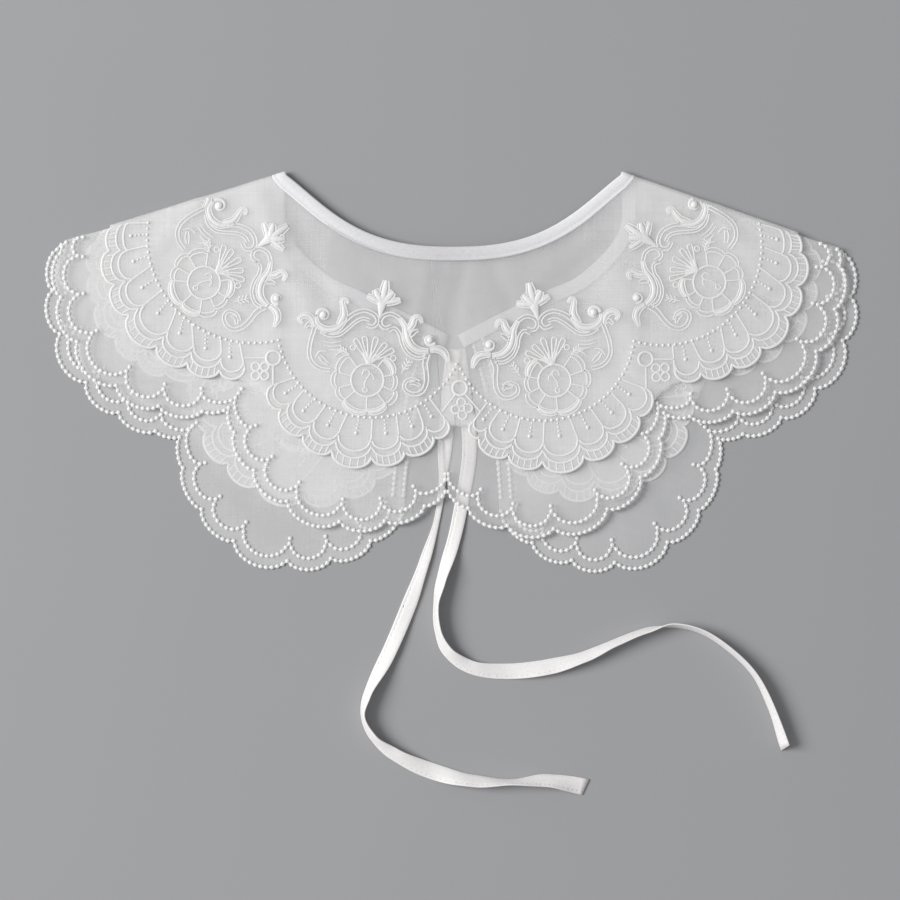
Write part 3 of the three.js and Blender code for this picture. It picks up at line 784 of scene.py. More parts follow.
def extrude_rows(mesh, rows, closed=False):
    """Extrudes the first row of points through all the others; returns the first and last edges."""
    mark = mesh.verts.layers.int.new("place")
    verts = [mesh.verts.new(point) for point in rows[0]]
    for place, vert in enumerate(verts):
        vert[mark] = place
    neighbours = verts[1:] + verts[:1] if closed else verts[1:]
    first = edges = [mesh.edges.new(pair) for pair in zip(verts, neighbours)]
    for row in rows[1:]:
        made = bmesh.ops.extrude_edge_only(mesh, edges=edges)["geom"]
        fresh = {item for item in made if isinstance(item, bmesh.types.BMVert)}
        for vert in fresh:
            vert.co = row[vert[mark]]
        edges = [
            item for item in made
            if isinstance(item, bmesh.types.BMEdge) and fresh.issuperset(item.verts)
        ]
    return first, edges


def closed_tape(rings):
    """A mesh through rings of points, with its two ends filled."""
    mesh = bmesh.new()
    first, last = extrude_rows(mesh, rings, closed=True)
    bmesh.ops.contextual_create(mesh, geom=first)
    bmesh.ops.contextual_create(mesh, geom=last)
    bmesh.ops.recalc_face_normals(mesh, faces=mesh.faces)
    return mesh


class Dome:
    """A small flattened ball of thread, added to a mesh wherever a stitch is wanted."""

    def __init__(self, around, levels):
        mesh = bmesh.new()
        bmesh.ops.create_uvsphere(mesh, u_segments=around, v_segments=levels, radius=MM)
        self.data = bpy.data.meshes.new("dome")
        mesh.to_mesh(self.data)
        mesh.free()

    def add(self, mesh, matrix):
        self.data.transform(matrix)
        mesh.from_mesh(self.data)
        self.data.transform(matrix.inverted())

    def remove(self):
        bpy.data.meshes.remove(self.data)


def width_at(widths, share):
    """The width a share of the way along a line whose widths are spread evenly."""
    where = share * (len(widths) - 1)
    low = min(int(where), max(len(widths) - 2, 0))
    high = min(low + 1, len(widths) - 1)
    return widths[low] + (widths[high] - widths[low]) * (where - low)


class Embroidery:
    """Lines and dots of thread drawn in plan, and laid on a cloth layer when all are drawn."""

    def __init__(self, side, tier, half):
        self.layer = (side, tier, half)
        self.lines = []
        self.dots = []

    def past_fold(self, point):
        """Whether a plan point lies beyond the shoulder fold."""
        side = self.layer[0]
        _, beyond = fold_frame(side)
        return (Vector(point) - fold_point(side, 0)).dot(beyond) > FOLD_ALLOWANCE

    def line(self, points, widths, closed=False):
        """A line of thread; widths are half widths, spread evenly along it."""
        track = Line(points)
        count = max(2, math.ceil(track.length / THREAD_STEP))
        run = []
        for k in range(count if closed else count + 1):
            share = k / count
            point = track.at(share)
            width = width_at(widths, share)
            if self.past_fold(point):
                self.keep(run, False)
                run = []
            else:
                run.append((point, width))
        self.keep(run, closed)

    def corded(self, points, widths):
        """A scroll with a cord along both sides, and satin between them where it is wide."""
        track = Line(points)
        count = max(2, math.ceil(track.length / THREAD_STEP))
        for hand in (-1, 1):
            edge = []
            for k in range(count + 1):
                heading = track.heading(k / count)
                reach = width_at(widths, k / count) * CORD_REACH * hand
                edge.append(track.at(k / count) + Vector((-heading.y, heading.x)) * reach)
            self.line(edge, [CORD_THREAD])
        if max(widths) > SATIN_FROM:
            self.line(points, [width * SATIN_SHARE for width in widths])

    def keep(self, run, closed):
        if len(run) > 1:
            self.lines.append((run, closed))

    def dot(self, point, radius):
        if not self.past_fold(point):
            self.dots.append((Vector(point), radius))

    def ring(self, centre, radius, width):
        centre = Vector(centre)
        turns = [2 * math.pi * k / 16 for k in range(17)]
        points = [centre + Vector((math.cos(a), math.sin(a))) * radius for a in turns]
        self.line(points, [width], closed=True)

    def lay(self, mesh):
        """Adds the threads to a mesh as tubes and flat domes that follow the cloth."""
        curve = bpy.data.curves.new("threads", "CURVE")
        curve.dimensions = "3D"
        curve.fill_mode = "FULL"
        curve.bevel_depth = MM
        curve.bevel_resolution = 1
        curve.use_fill_caps = True
        for run, closed in self.lines:
            spline = curve.splines.new("POLY")
            spline.points.add(len(run) - 1)
            spline.use_cyclic_u = closed
            for spot, (point, width) in zip(spline.points, run):
                spot.co = (point.x * MM, point.y * MM, 0.0, 1.0)
                spot.radius = width
        holder = bpy.data.objects.new("threads", curve)
        bpy.context.scene.collection.objects.link(holder)
        seen = holder.evaluated_get(bpy.context.evaluated_depsgraph_get())
        tubes = bpy.data.meshes.new_from_object(seen)
        laid = bmesh.new()
        laid.from_mesh(tubes)
        for vert in laid.verts:
            plan = Vector((vert.co.x, vert.co.y)) / MM
            rise = vert.co.z * THREAD_FLATNESS / (1 + abs(vert.co.z) / (WIDE_THREAD * MM))
            vert.co.z = rise + on_cloth(*self.layer, plan).z
        bmesh.ops.recalc_face_normals(laid, faces=laid.faces)
        dome = Dome(10, 5)
        for point, radius in self.dots:
            size = Matrix.Diagonal((radius, radius, radius * STITCH_FLATNESS, 1))
            middle = on_cloth(*self.layer, point)
            middle.z = max(middle.z, radius * STITCH_FLATNESS * MM)
            dome.add(laid, Matrix.Translation(middle) @ size)
        dome.remove()
        laid.to_mesh(tubes)
        laid.free()
        mesh.from_mesh(tubes)
        bpy.data.objects.remove(holder)
        bpy.data.curves.remove(curve)
        bpy.data.meshes.remove(tubes)


# ---- materials -----------------------------------------------------------------------------

# Painted shade: round the back of the neck the cloth's haze is thinned, so that the grey floor
# shows through and the collar reads darker there, as its shade would make it.
NECK_SHADE_REACH = (0.05, 0.088)  # metres from the back of the neck over which the haze comes up; inside it the haze is thinned as painted shade
NECK_SHADE_HAZE = 0.64
# Painted shade: the lower tier turns clearer towards the right, so that it reads darker there, as
# the light falling off to the right would make it.
RIGHT_SHADE_SPAN = (-0.02, 0.1)  # metres across the collar over which the lower tier turns clearer, as painted shade
RIGHT_SHADE_HAZE = 0.66  # of the lower tier's haze that is left on its right, where its painted shade is deepest
CLOTH_SPAN = (0.0021, 0.0024)  # metres up between the front and back halves of the cloth
BEADED_HAZE = (1.04, 0.88)  # haze of the lower tier's front and back halves, over the cloth's
LACE_HAZE = (1.5, 1.22)  # the same for the upper tier, whose cloth is backed and so hazier
# Painted shade on the binding: grey towards the nape, where it turns away from the light, and on
# its front half, which lies in shade under both tiers.
NAPE_SHADE_SPOT = (-0.006, 0.06, 0.004)  # where the binding's painted shade is deepest, in metres
NAPE_SHADE_REACH = 0.07  # metres from there to where it is white
NAPE_PAINTED_SHADE = 0.78  # how light the painted shade leaves it there
HALF_SPAN = (0.0021, 0.0029)  # metres up between the binding's front and back halves
FRONT_PAINTED_SHADE = 0.84  # how light painted shade leaves the front half, which lies flat under both tiers


def linear(hex_colour):
    """An sRGB hex colour as linear red, green, blue and full alpha."""
    values = [int(hex_colour[k:k + 2], 16) / 255 for k in (1, 3, 5)]
    return (*[v / 12.92 if v <= 0.04045 else ((v + 0.055) / 1.055) ** 2.4 for v in values], 1.0)


def add_node(material, kind, links=None, **settings):
    """Adds a node with its settings, its input values and the sockets linked into it."""
    tree = material.node_tree
    node = tree.nodes.new(kind)
    for name, value in settings.items():
        if hasattr(node, name):
            setattr(node, name, value)
        else:
            node.inputs[name.replace("_", " ")].default_value = value
    for name, source in (links or {}).items():
        tree.links.new(source, node.inputs[name])
    return node


def new_material(name, **values):
    """A material, its Principled shader with the given values, and its Object coordinates."""
    material = bpy.data.materials.new(name)
    material.use_nodes = True
    shader = material.node_tree.nodes["Principled BSDF"]
    for socket, value in values.items():
        shader.inputs[socket.replace("_", " ")].default_value = value
    place = add_node(material, "ShaderNodeTexCoord").outputs["Object"]
    return material, shader, place


def streaks(material, place, width, length, turned=False):
    """Noise drawn out into streaks of a width and a length in metres, along Y or along X."""
    scale = (1 / length, 1 / width, 1.0) if turned else (1 / width, 1 / length, 1.0)
    mapped = add_node(material, "ShaderNodeMapping", {"Vector": place}, Scale=scale)
    noise = add_node(
        material, "ShaderNodeTexNoise", {"Vector": mapped.outputs["Vector"]},
        noise_dimensions="2D", Scale=1.0, Detail=2.0, Roughness=0.6,
    )
    return noise.outputs["Fac"]


def organza(name, colour, opacity, halves, right_shade_haze):
    """Silk organza: a stiff sheer plain weave of slubbed threads.

    The eye sees through it, with a milky haze that thickens where layers overlap and where the
    slubs lie. Its haze is thinned round the back of the neck, and towards the right of the lower
    tier, as painted shade: the clearer cloth lets the grey floor show, so it reads darker there.
    Its threads are 0.15 mm apart, too fine to show, so the streaks are drawn 0.9 mm wide.
    """
    material, shader, place = new_material(
        name, Roughness=0.5, Sheen_Weight=0.25, Sheen_Roughness=0.4, Specular_IOR_Level=0.35
    )
    warp = streaks(material, place, 0.0009, 0.045)
    weft = streaks(material, place, 0.0009, 0.045, turned=True)
    weave = add_node(material, "ShaderNodeMath", {0: warp, 1: weft}, operation="ADD")
    cloud = add_node(
        material, "ShaderNodeTexNoise", {"Vector": place}, Scale=45.0, Detail=2.0, Roughness=0.5
    )
    tone = add_node(
        material, "ShaderNodeMapRange", {"Value": weave.outputs["Value"]},
        From_Min=0.6, From_Max=1.4, To_Min=0.9, To_Max=1.1,
    )
    haze = add_node(
        material, "ShaderNodeMapRange", {"Value": cloud.outputs["Fac"]},
        From_Min=0.3, From_Max=0.7, To_Min=0.86, To_Max=1.16,
    )
    # painted shade: thinner haze round the back of the neck
    from_neck = add_node(material, "ShaderNodeVectorMath", {0: place}, operation="DISTANCE")
    from_neck.inputs[1].default_value = [CENTRE_X * MM, NECK_LOW_Y * MM, 0.0]
    neck_shade = add_node(
        material, "ShaderNodeMapRange", {"Value": from_neck.outputs["Value"]},
        From_Min=NECK_SHADE_REACH[0], From_Max=NECK_SHADE_REACH[1], To_Min=NECK_SHADE_HAZE, To_Max=1.0,
    )
    # painted shade: thinner haze towards the right of the lower tier
    axes = add_node(material, "ShaderNodeSeparateXYZ", {"Vector": place})
    aside = add_node(
        material, "ShaderNodeMapRange", {"Value": axes.outputs["X"]},
        From_Min=RIGHT_SHADE_SPAN[0], From_Max=RIGHT_SHADE_SPAN[1], To_Min=1.0, To_Max=right_shade_haze,
    )
    half = add_node(
        material, "ShaderNodeMapRange", {"Value": axes.outputs["Z"]},
        From_Min=CLOTH_SPAN[0], From_Max=CLOTH_SPAN[1],
        To_Min=opacity * halves[0], To_Max=opacity * halves[1],
    )
    alpha = tone
    for part in (haze, neck_shade, aside, half):
        before = alpha.outputs[0]
        alpha = add_node(
            material, "ShaderNodeMath", {0: before, 1: part.outputs["Result"]},
            operation="MULTIPLY",
        )
    tint = add_node(
        material, "ShaderNodeMix", {"Factor": cloud.outputs["Fac"]}, data_type="RGBA",
    )
    tint.inputs[6].default_value = colour
    tint.inputs[7].default_value = linear("#f8f7f7")
    bump = add_node(
        material, "ShaderNodeBump", {"Height": weave.outputs["Value"]},
        Strength=0.25, Distance=0.0002,
    )
    links = material.node_tree.links
    links.new(alpha.outputs["Value"], shader.inputs["Alpha"])
    links.new(tint.outputs[2], shader.inputs["Base Color"])
    links.new(bump.outputs["Normal"], shader.inputs["Normal"])
    return material


def satin_thread(name, colour):
    """Rayon embroidery thread laid in satin stitch: bright where its strands run side by side.

    A strand is 0.3 mm wide, and is drawn 0.45 mm wide so that it shows.
    """
    material, shader, place = new_material(
        name, Roughness=0.42, Sheen_Weight=0.3, Sheen_Roughness=0.35, Specular_IOR_Level=0.5
    )
    strands = streaks(material, place, 0.00045, 0.003)
    shade = add_node(
        material, "ShaderNodeMapRange", {"Value": strands},
        From_Min=0.3, From_Max=0.7, To_Min=0.0, To_Max=1.0,
    )
    tint = add_node(material, "ShaderNodeMix", {0: shade.outputs["Result"]}, data_type="RGBA")
    tint.inputs[6].default_value = linear("#e0dfde")
    tint.inputs[7].default_value = colour
    bump = add_node(
        material, "ShaderNodeBump", {"Height": strands}, Strength=0.5, Distance=0.00015
    )
    links = material.node_tree.links
    links.new(tint.outputs[2], shader.inputs["Base Color"])
    links.new(bump.outputs["Normal"], shader.inputs["Normal"])
    return material


def woven_tape(name, colour, dark, thread_width, roughness):
    """Folded cotton tape: opaque, matt and slightly ribbed by its weave.

    Its threads are 0.25 mm apart, and are drawn coarser so that they show.
    """
    material, shader, place = new_material(
        name, Roughness=roughness, Sheen_Weight=0.3, Sheen_Roughness=0.5, Specular_IOR_Level=0.4
    )
    warp = streaks(material, place, thread_width, thread_width * 5)
    weft = streaks(material, place, thread_width, thread_width * 5, turned=True)
    weave = add_node(material, "ShaderNodeMath", {0: warp, 1: weft}, operation="ADD")
    shade = add_node(
        material, "ShaderNodeMapRange", {"Value": weave.outputs["Value"]},
        From_Min=0.7, From_Max=1.3, To_Min=0.0, To_Max=1.0,
    )
    tint = add_node(material, "ShaderNodeMix", {0: shade.outputs["Result"]}, data_type="RGBA")
    tint.inputs[6].default_value = dark
    tint.inputs[7].default_value = colour
    bump = add_node(
        material, "ShaderNodeBump", {"Height": weave.outputs["Value"]},
        Strength=0.2, Distance=0.0002,
    )
    links = material.node_tree.links
    links.new(tint.outputs[2], shader.inputs["Base Color"])
    links.new(bump.outputs["Normal"], shader.inputs["Normal"])
    return material


def binding_tape(name, colour, dark):
    """Folded cotton tape, whitest over the shoulders, with painted shade: it greys towards the
    nape, where it turns away from the light, and on its front half, which lies in shade under the
    two tiers.
    """
    material = woven_tape(name, colour, dark, 0.0005, 0.65)
    tree = material.node_tree
    shader = tree.nodes["Principled BSDF"]
    place = tree.nodes["Texture Coordinate"].outputs["Object"]
    # painted shade: grey towards the nape, and on the front half under the tiers
    from_nape = add_node(material, "ShaderNodeVectorMath", {0: place}, operation="DISTANCE")
    from_nape.inputs[1].default_value = NAPE_SHADE_SPOT
    nape_shade = add_node(
        material, "ShaderNodeMapRange", {"Value": from_nape.outputs["Value"]},
        From_Min=0.0, From_Max=NAPE_SHADE_REACH, To_Min=NAPE_PAINTED_SHADE, To_Max=1.0,
    )
    axes = add_node(material, "ShaderNodeSeparateXYZ", {"Vector": place})
    half = add_node(
        material, "ShaderNodeMapRange", {"Value": axes.outputs["Z"]},
        From_Min=HALF_SPAN[0], From_Max=HALF_SPAN[1], To_Min=FRONT_PAINTED_SHADE, To_Max=1.0,
    )
    tone = add_node(
        material, "ShaderNodeMath",
        {0: nape_shade.outputs["Result"], 1: half.outputs["Result"]}, operation="MULTIPLY",
    )
    shaded = add_node(
        material, "ShaderNodeMix",
        {6: shader.inputs["Base Color"].links[0].from_socket, 7: tone.outputs["Value"]},
        data_type="RGBA", blend_type="MULTIPLY",
    )
    shaded.inputs[0].default_value = 1.0
    tree.links.new(shaded.outputs[2], shader.inputs["Base Color"])
    return material


def seamless_paper(name, colour):
    """Studio background paper: matt and even, with a trace of cloudy tone."""
    material, shader, place = new_material(name, Roughness=0.85, Specular_IOR_Level=0.2)
    cloud = add_node(material, "ShaderNodeTexNoise", {"Vector": place}, Scale=6.0, Detail=3.0)
    tint = add_node(material, "ShaderNodeMix", {0: cloud.outputs["Fac"]}, data_type="RGBA")
    tint.inputs[6].default_value = colour
    tint.inputs[7].default_value = [0.97 * value for value in colour[:3]] + [1.0]
    material.node_tree.links.new(tint.outputs[2], shader.inputs["Base Color"])
    return material


def material_named(name, make, *settings):
    """The material of that name, made if it isn't there yet."""
    return bpy.data.materials.get(name) or make(name, *settings)


# ---- cloth ---------------------------------------------------------------------------------

def tier_cloth(side, tier, sizes, material):
    """One half of a tier: back, round the shoulder fold and front, in a single thin cloth."""
    backs = columns_in_plan(side, tier, "back")
    fronts = columns_in_plan(side, tier, "front")
    _, beyond = fold_frame(side)
    rows = []
    for j in range(CLOTH_ROWS + 1):
        back = [on_cloth(side, tier, "back", column[j]) for column in reversed(backs)]
        front = [on_cloth(side, tier, "front", column[j]) for column in fronts]
        middle = (back[-1] + front[0]) / 2
        radius = (back[-1].z - front[0].z) / 2
        turn = []
        for k in range(1, FOLD_STEPS):
            angle = math.pi * k / FOLD_STEPS
            aside = beyond * math.sin(angle)
            turn.append(middle + Vector((aside.x, aside.y, math.cos(angle))) * radius)
        rows.append(back + turn + front)
    mesh = bmesh.new()
    extrude_rows(mesh, rows)
    bmesh.ops.recalc_face_normals(mesh, faces=mesh.faces)
    piece = new_piece(f"{tier}_cloth_{side}", mesh, [material])
    wall = piece.modifiers.new("wall", "SOLIDIFY")
    wall.thickness = sizes.thickness
    wall.offset = 0.0
    return piece


def opening_edge(side, tier, depth):
    """A line down the front opening, `depth` inside the edge of the cloth."""
    edge = Line(columns_in_plan(side, tier, "front")[-1])
    points = []
    for k in range(25):
        share = k / 24
        heading = edge.heading(share)
        points.append(edge.at(share) + Vector((-heading.y, heading.x)) * outward(side) * depth)
    return points


def seam_thread(embroidery, side, tier, half):
    """The faint line of the centre-back seam."""
    if (side, half) == ("right", "back"):
        embroidery.line(columns_in_plan(side, tier, half)[-1], [SEAM_THREAD])


def beads_along(embroidery, points, sizes, skip_first=False):
    """Raised round stitches from one end of a line to the other."""
    embroidery.line(points, [UNDERLAY_THREAD])
    track = Line(points)
    count = max(1, round(track.length / (sizes.pitch / MM)))
    for k in range(1 if skip_first else 0, count + 1):
        embroidery.dot(track.at(k / count), sizes.diameter / MM / 2)


def beaded_edge(side, half, sizes):
    """Two lines of raised round stitches along a hem, and along the front opening."""
    embroidery = Embroidery(side, "beaded", half)
    seam_thread(embroidery, side, "beaded", half)
    sign = -outward(side)
    for number, bay in enumerate(hem_bays(side, "beaded", half)):
        beads_along(embroidery, bulged(bay.start, bay.end, bay.bulge, sign), sizes, number > 0)
        start = bay.start + bay.start_in * INNER_CUSP_DEPTH
        end = bay.end + bay.end_in * INNER_CUSP_DEPTH
        rise = bay.bulge * (bay.end - bay.start).length + INNER_CUSP_DEPTH - INNER_APEX_DEPTH
        inner = bulged(start, end, rise / (end - start).length, sign, ROUND_POWER)
        beads_along(embroidery, inner, sizes, number > 0)
        if number:
            embroidery.dot(start + bay.start_in * SPUR_REACH, sizes.diameter / MM / 2)
    if half == "front":
        for depth in (HEM_MARGIN["beaded"], HEM_MARGIN["beaded"] + OPENING_LINE_GAP):
            points = opening_edge(side, "beaded", depth)
            beads_along(embroidery, points[:-2], sizes)
    return embroidery


# ---- lace ----------------------------------------------------------------------------------

def inside(bay, start, end, depth, sign, power):
    """A line inside a scallop, from `start` to `end`, its top `depth` in from the outermost one."""
    chord = bay.end - bay.start
    square = Vector((chord.y, -chord.x)) * sign
    top = (bay.start + bay.end) / 2 + square * (bay.bulge - depth / chord.length)
    return bulged(start, end, bulge_to(start, end, top, sign), sign, power, 16)


def lace_border(embroidery, side, half):
    """The looped border of the lace: nested lines, spokes, bars and rows of dots."""
    sign = -outward(side)
    bays = hem_bays(side, "lace", half)
    for number, lobe in enumerate(LACE_LOBES[side, half]):
        beads = Arc(side, lobe.bead_start, lobe.bead_end, lobe.bead_rise)
        count = round(beads.turn * beads.radius / SMALL_BEAD_PITCH)
        for k in range(count + number):
            embroidery.dot(beads.at(k / count), SMALL_BEAD_RADIUS)
        row = [bay for bay in bays if bay.lobe == number]
        feet = [beads.at(share) for share in (SPOKE_SHARES if number else FOLD_SPOKE_SHARES)]
        cusps = [row[0].start] + [bay.end for bay in row]
        ways = [row[0].start_in] + [bay.end_in for bay in row]
        corners = {len(cusps) - 1, 0} if number else {len(cusps) - 1}
        for place, (foot, cusp, way) in enumerate(zip(feet, cusps, ways)):
            depth = 0.0 if place in corners else SPOKE_END_DEPTH
            embroidery.line([foot, cusp + way * depth], [LACE_SPOKE_THREAD])
        for place, bay in enumerate(row):
            outer = bulged(bay.start, bay.end, bay.bulge, sign, ROUND_POWER, 16)
            embroidery.line(outer, [LACE_OUTER_THREAD])
            inner = None
            if corners & {place, place + 1}:
                ends = []
                for at, way in ((place, bay.start_in), (place + 1, bay.end_in)):
                    spoke = (feet[at] - cusps[at]).normalized()
                    corner = at in corners
                    ends.append(
                        cusps[at] + (spoke * END_SPOKE_DEPTH if corner else way * END_CUSP_DEPTH)
                    )
                inner = inside(bay, *ends, END_APEX_DEPTH, sign, ROUND_POWER)
            else:
                start, end = bay.start, bay.end
                middle = inside(
                    bay, start + bay.start_in * MIDDLE_CUSP_DEPTH,
                    end + bay.end_in * MIDDLE_CUSP_DEPTH, MIDDLE_APEX_DEPTH, sign, ROUND_POWER,
                )
                inner = inside(
                    bay, start + bay.start_in * INNER_LACE_CUSP_DEPTH,
                    end + bay.end_in * INNER_LACE_CUSP_DEPTH, INNER_LACE_APEX_DEPTH, sign,
                    ELLIPSE_POWER,
                )
                embroidery.line(middle, [LACE_LINE_THREAD])
                for share in BAR_SHARES:
                    bar = [Line(middle).at(share), Line(outer).at(share)]
                    embroidery.line(bar, [LACE_BAR_THREAD])
            embroidery.line(inner, [LACE_LINE_THREAD])
            foot = (feet[place] + feet[place + 1]) / 2
            foot = beads.centre + (foot - beads.centre).normalized() * beads.radius
            way = (Line(inner).at(0.5) - foot).normalized()
            for reach, radius in PETAL_DOTS:
                embroidery.dot(foot + way * reach, radius)


def valley_motifs(embroidery, side, half):
    """A ring and a flower of four rings between two lobes, and the arms that hold the ring."""
    for valley in VALLEYS:
        if (valley.side, valley.half) != (side, half):
            continue
        ring, flower = Vector(valley.ring), Vector(valley.flower)
        embroidery.ring(ring, VALLEY_RING, LACE_OUTER_THREAD)
        way = (flower - ring).normalized()
        for turn in (0, 90, 180, 270):
            spoke = Matrix.Rotation(math.radians(turn), 2) @ way
            embroidery.ring(flower + spoke * FLOWER_SPREAD, FLOWER_RING, LACE_LINE_THREAD)
        for end in valley.arms:
            arm = (Vector(end) - ring).normalized()
            embroidery.line([ring + arm * VALLEY_RING, Vector(end)], [LACE_SPOKE_THREAD])


def medallion(embroidery, side, half, centre, turn):
    """A scrolled frame round an open flower, mirrored on one half of the collar."""
    angle = math.radians(turn)
    up = Vector((math.sin(angle), math.cos(angle)))
    hand = -outward(side) * (1 if half == "back" else -1)
    right = Vector((up.y, -up.x)) * hand

    def place(point):
        return Vector(centre) + right * point[0] + up * point[1]

    def stroke(points, widths, steps=6):
        embroidery.line([place(p) for p in smooth_line(points, steps)], widths)

    def ribbon(points, widths, steps=6):
        embroidery.corded([place(p) for p in smooth_line(points, steps)], widths)

    for scroll in SCROLLS:
        draw = ribbon if max(scroll.widths) > CORDED_FROM else stroke
        draw(scroll.points, scroll.widths)
    for volute in VOLUTES:
        points = []
        for k in range(19):
            share = k / 18
            angle = math.radians(volute.first_turn - 360 * volute.turns * share)
            reach = volute.radius * (1 - 0.72 * share)
            points.append(
                (volute.centre[0] + math.cos(angle) * reach,
                 volute.centre[1] + math.sin(angle) * reach)
            )
        stroke(points, [volute.width, volute.width * 0.7], 2)
        embroidery.dot(place(volute.centre), volute.radius * VOLUTE_HEART)
    foot, heart = Vector(PALMETTE_FOOT), Vector(PALMETTE_HEART)
    stroke([foot, foot.lerp(heart, 0.5), heart], PALMETTE_STALK)
    for leaf in PALMETTE:
        angle = math.radians(leaf.turn)
        tip = heart + Vector((math.sin(angle), math.cos(angle))) * leaf.length
        ribbon(
            [heart, heart.lerp(tip, 0.6), tip],
            [leaf.width * 0.8, leaf.width, leaf.width, leaf.width * 0.6],
        )
    open_flower(embroidery, place, stroke, ribbon)


def open_flower(embroidery, place, stroke, ribbon):
    """Round petals about a ring, with a fan of stamens above it."""
    embroidery.ring(place((0, 0)), FLOWER_RADIUS, 0.65)

    def polar(turn, reach):
        return Vector((math.cos(math.radians(turn)), math.sin(math.radians(turn)))) * reach

    for petal in PETALS:
        cusp = petal.reach * PETAL_CUSP
        edge = []
        for k in range(9):
            share = k / 8
            reach = cusp + (petal.reach - cusp) * (4 * share * (1 - share)) ** ROUND_POWER
            edge.append(polar(petal.first + (petal.last - petal.first) * share, reach))
        draw = ribbon if petal.edge > CORDED_FROM else stroke
        draw(edge, [petal.edge * 0.6, petal.edge, petal.edge, petal.edge * 0.6])
        stroke([polar(petal.first, FLOWER_RADIUS), polar(petal.first, cusp)], [0.5])
    stroke([polar(petal.last, FLOWER_RADIUS), polar(petal.last, cusp)], [0.5])
    foot = Vector(STAMEN_FOOT)
    for turn, length in STAMENS:
        way = polar(90 - turn, 1.0)
        square = Vector((way.y, -way.x)) * STAMEN_HALF_WIDTH
        tip = foot + way * length
        middle = foot.lerp(tip, 0.45)
        loop = [foot, middle + square * 0.5, tip - way + square, tip]
        loop += [tip - way - square, middle - square * 0.5, foot]
        stroke(loop, [STAMEN_THREAD])
        stroke([foot, middle], STAMEN_ROOT)
    for centre, radius in SMALL_RINGS:
        embroidery.ring(place(centre), radius, SMALL_RING_THREAD)
    for foot, turn, length in SPRIGS:
        way = polar(90 + turn, 1.0)
        square = Vector((way.y, -way.x))
        foot = Vector(foot)
        stroke([foot, foot + way * length], [0.4, 0.4])
        for k in range(SPRIG_LEAVES):
            joint = foot + way * length * (k + 1) / (SPRIG_LEAVES + 1)
            for aside in (-1, 1):
                tip = joint + way * 1.8 + square * aside * 1.8
                stroke([joint, tip], [0.35, 0.6])


def lace_work(side, half):
    """All the embroidery of one layer of the upper tier."""
    embroidery = Embroidery(side, "lace", half)
    seam_thread(embroidery, side, "lace", half)
    lace_border(embroidery, side, half)
    valley_motifs(embroidery, side, half)
    for motif in MEDALLIONS:
        if (motif.side, motif.half) == (side, half):
            medallion(embroidery, side, half, motif.centre, motif.turn)
    return embroidery


# ---- binding and ties ----------------------------------------------------------------------

def binding_ring(inner, outer, normal, thickness):
    """Section of the folded binding: rounded over the neck edge, stitched down near the other."""
    ring = []
    for face in (1, -1):
        section = BINDING_SECTION if face > 0 else BINDING_SECTION[::-1]
        for share, height in section:
            ring.append((inner.lerp(outer, share) + normal * height * face * thickness / 2) * MM)
    return ring


def binding_rings(thickness):
    """Sections of the whole binding, from the left front opening to the right one."""
    rings = []
    for side in ("left", "right"):
        quarters = []
        for half, normal in (("front", Vector((0, 0, -1))), ("back", Vector((0, 0, 1)))):
            inner, outer = neckline(side, half, 0), neckline(side, half, BINDING_WIDTH)
            level = Vector((0, 0, BINDING_LEVEL[half]))
            steps = range(BINDING_STEPS + 1)
            shares = [k / BINDING_STEPS for k in steps]
            quarter = [
                binding_ring(
                    inner(t).to_3d() + level, outer(t).to_3d() + level, normal, thickness
                )
                for t in shares
            ]
            quarters.append(quarter)
        front, back = quarters
        _, beyond = fold_frame(side)
        middle = (BINDING_LEVEL["back"] + BINDING_LEVEL["front"]) / 2
        radius = (BINDING_LEVEL["back"] - BINDING_LEVEL["front"]) / 2
        turn = []
        for k in range(1, FOLD_STEPS):
            angle = math.pi * k / FOLD_STEPS
            aside = beyond * math.sin(angle)
            normal = Vector((aside.x, aside.y, -math.cos(angle)))
            lift = normal * radius + Vector((0, 0, middle))
            tip, foot = fold_point(side, 0).to_3d(), fold_point(side, BINDING_WIDTH).to_3d()
            turn.append(binding_ring(tip + lift, foot + lift, normal, thickness))
        whole = front[::-1] + turn + back
        rings += whole[:-1] if side == "left" else whole[::-1]
    return rings


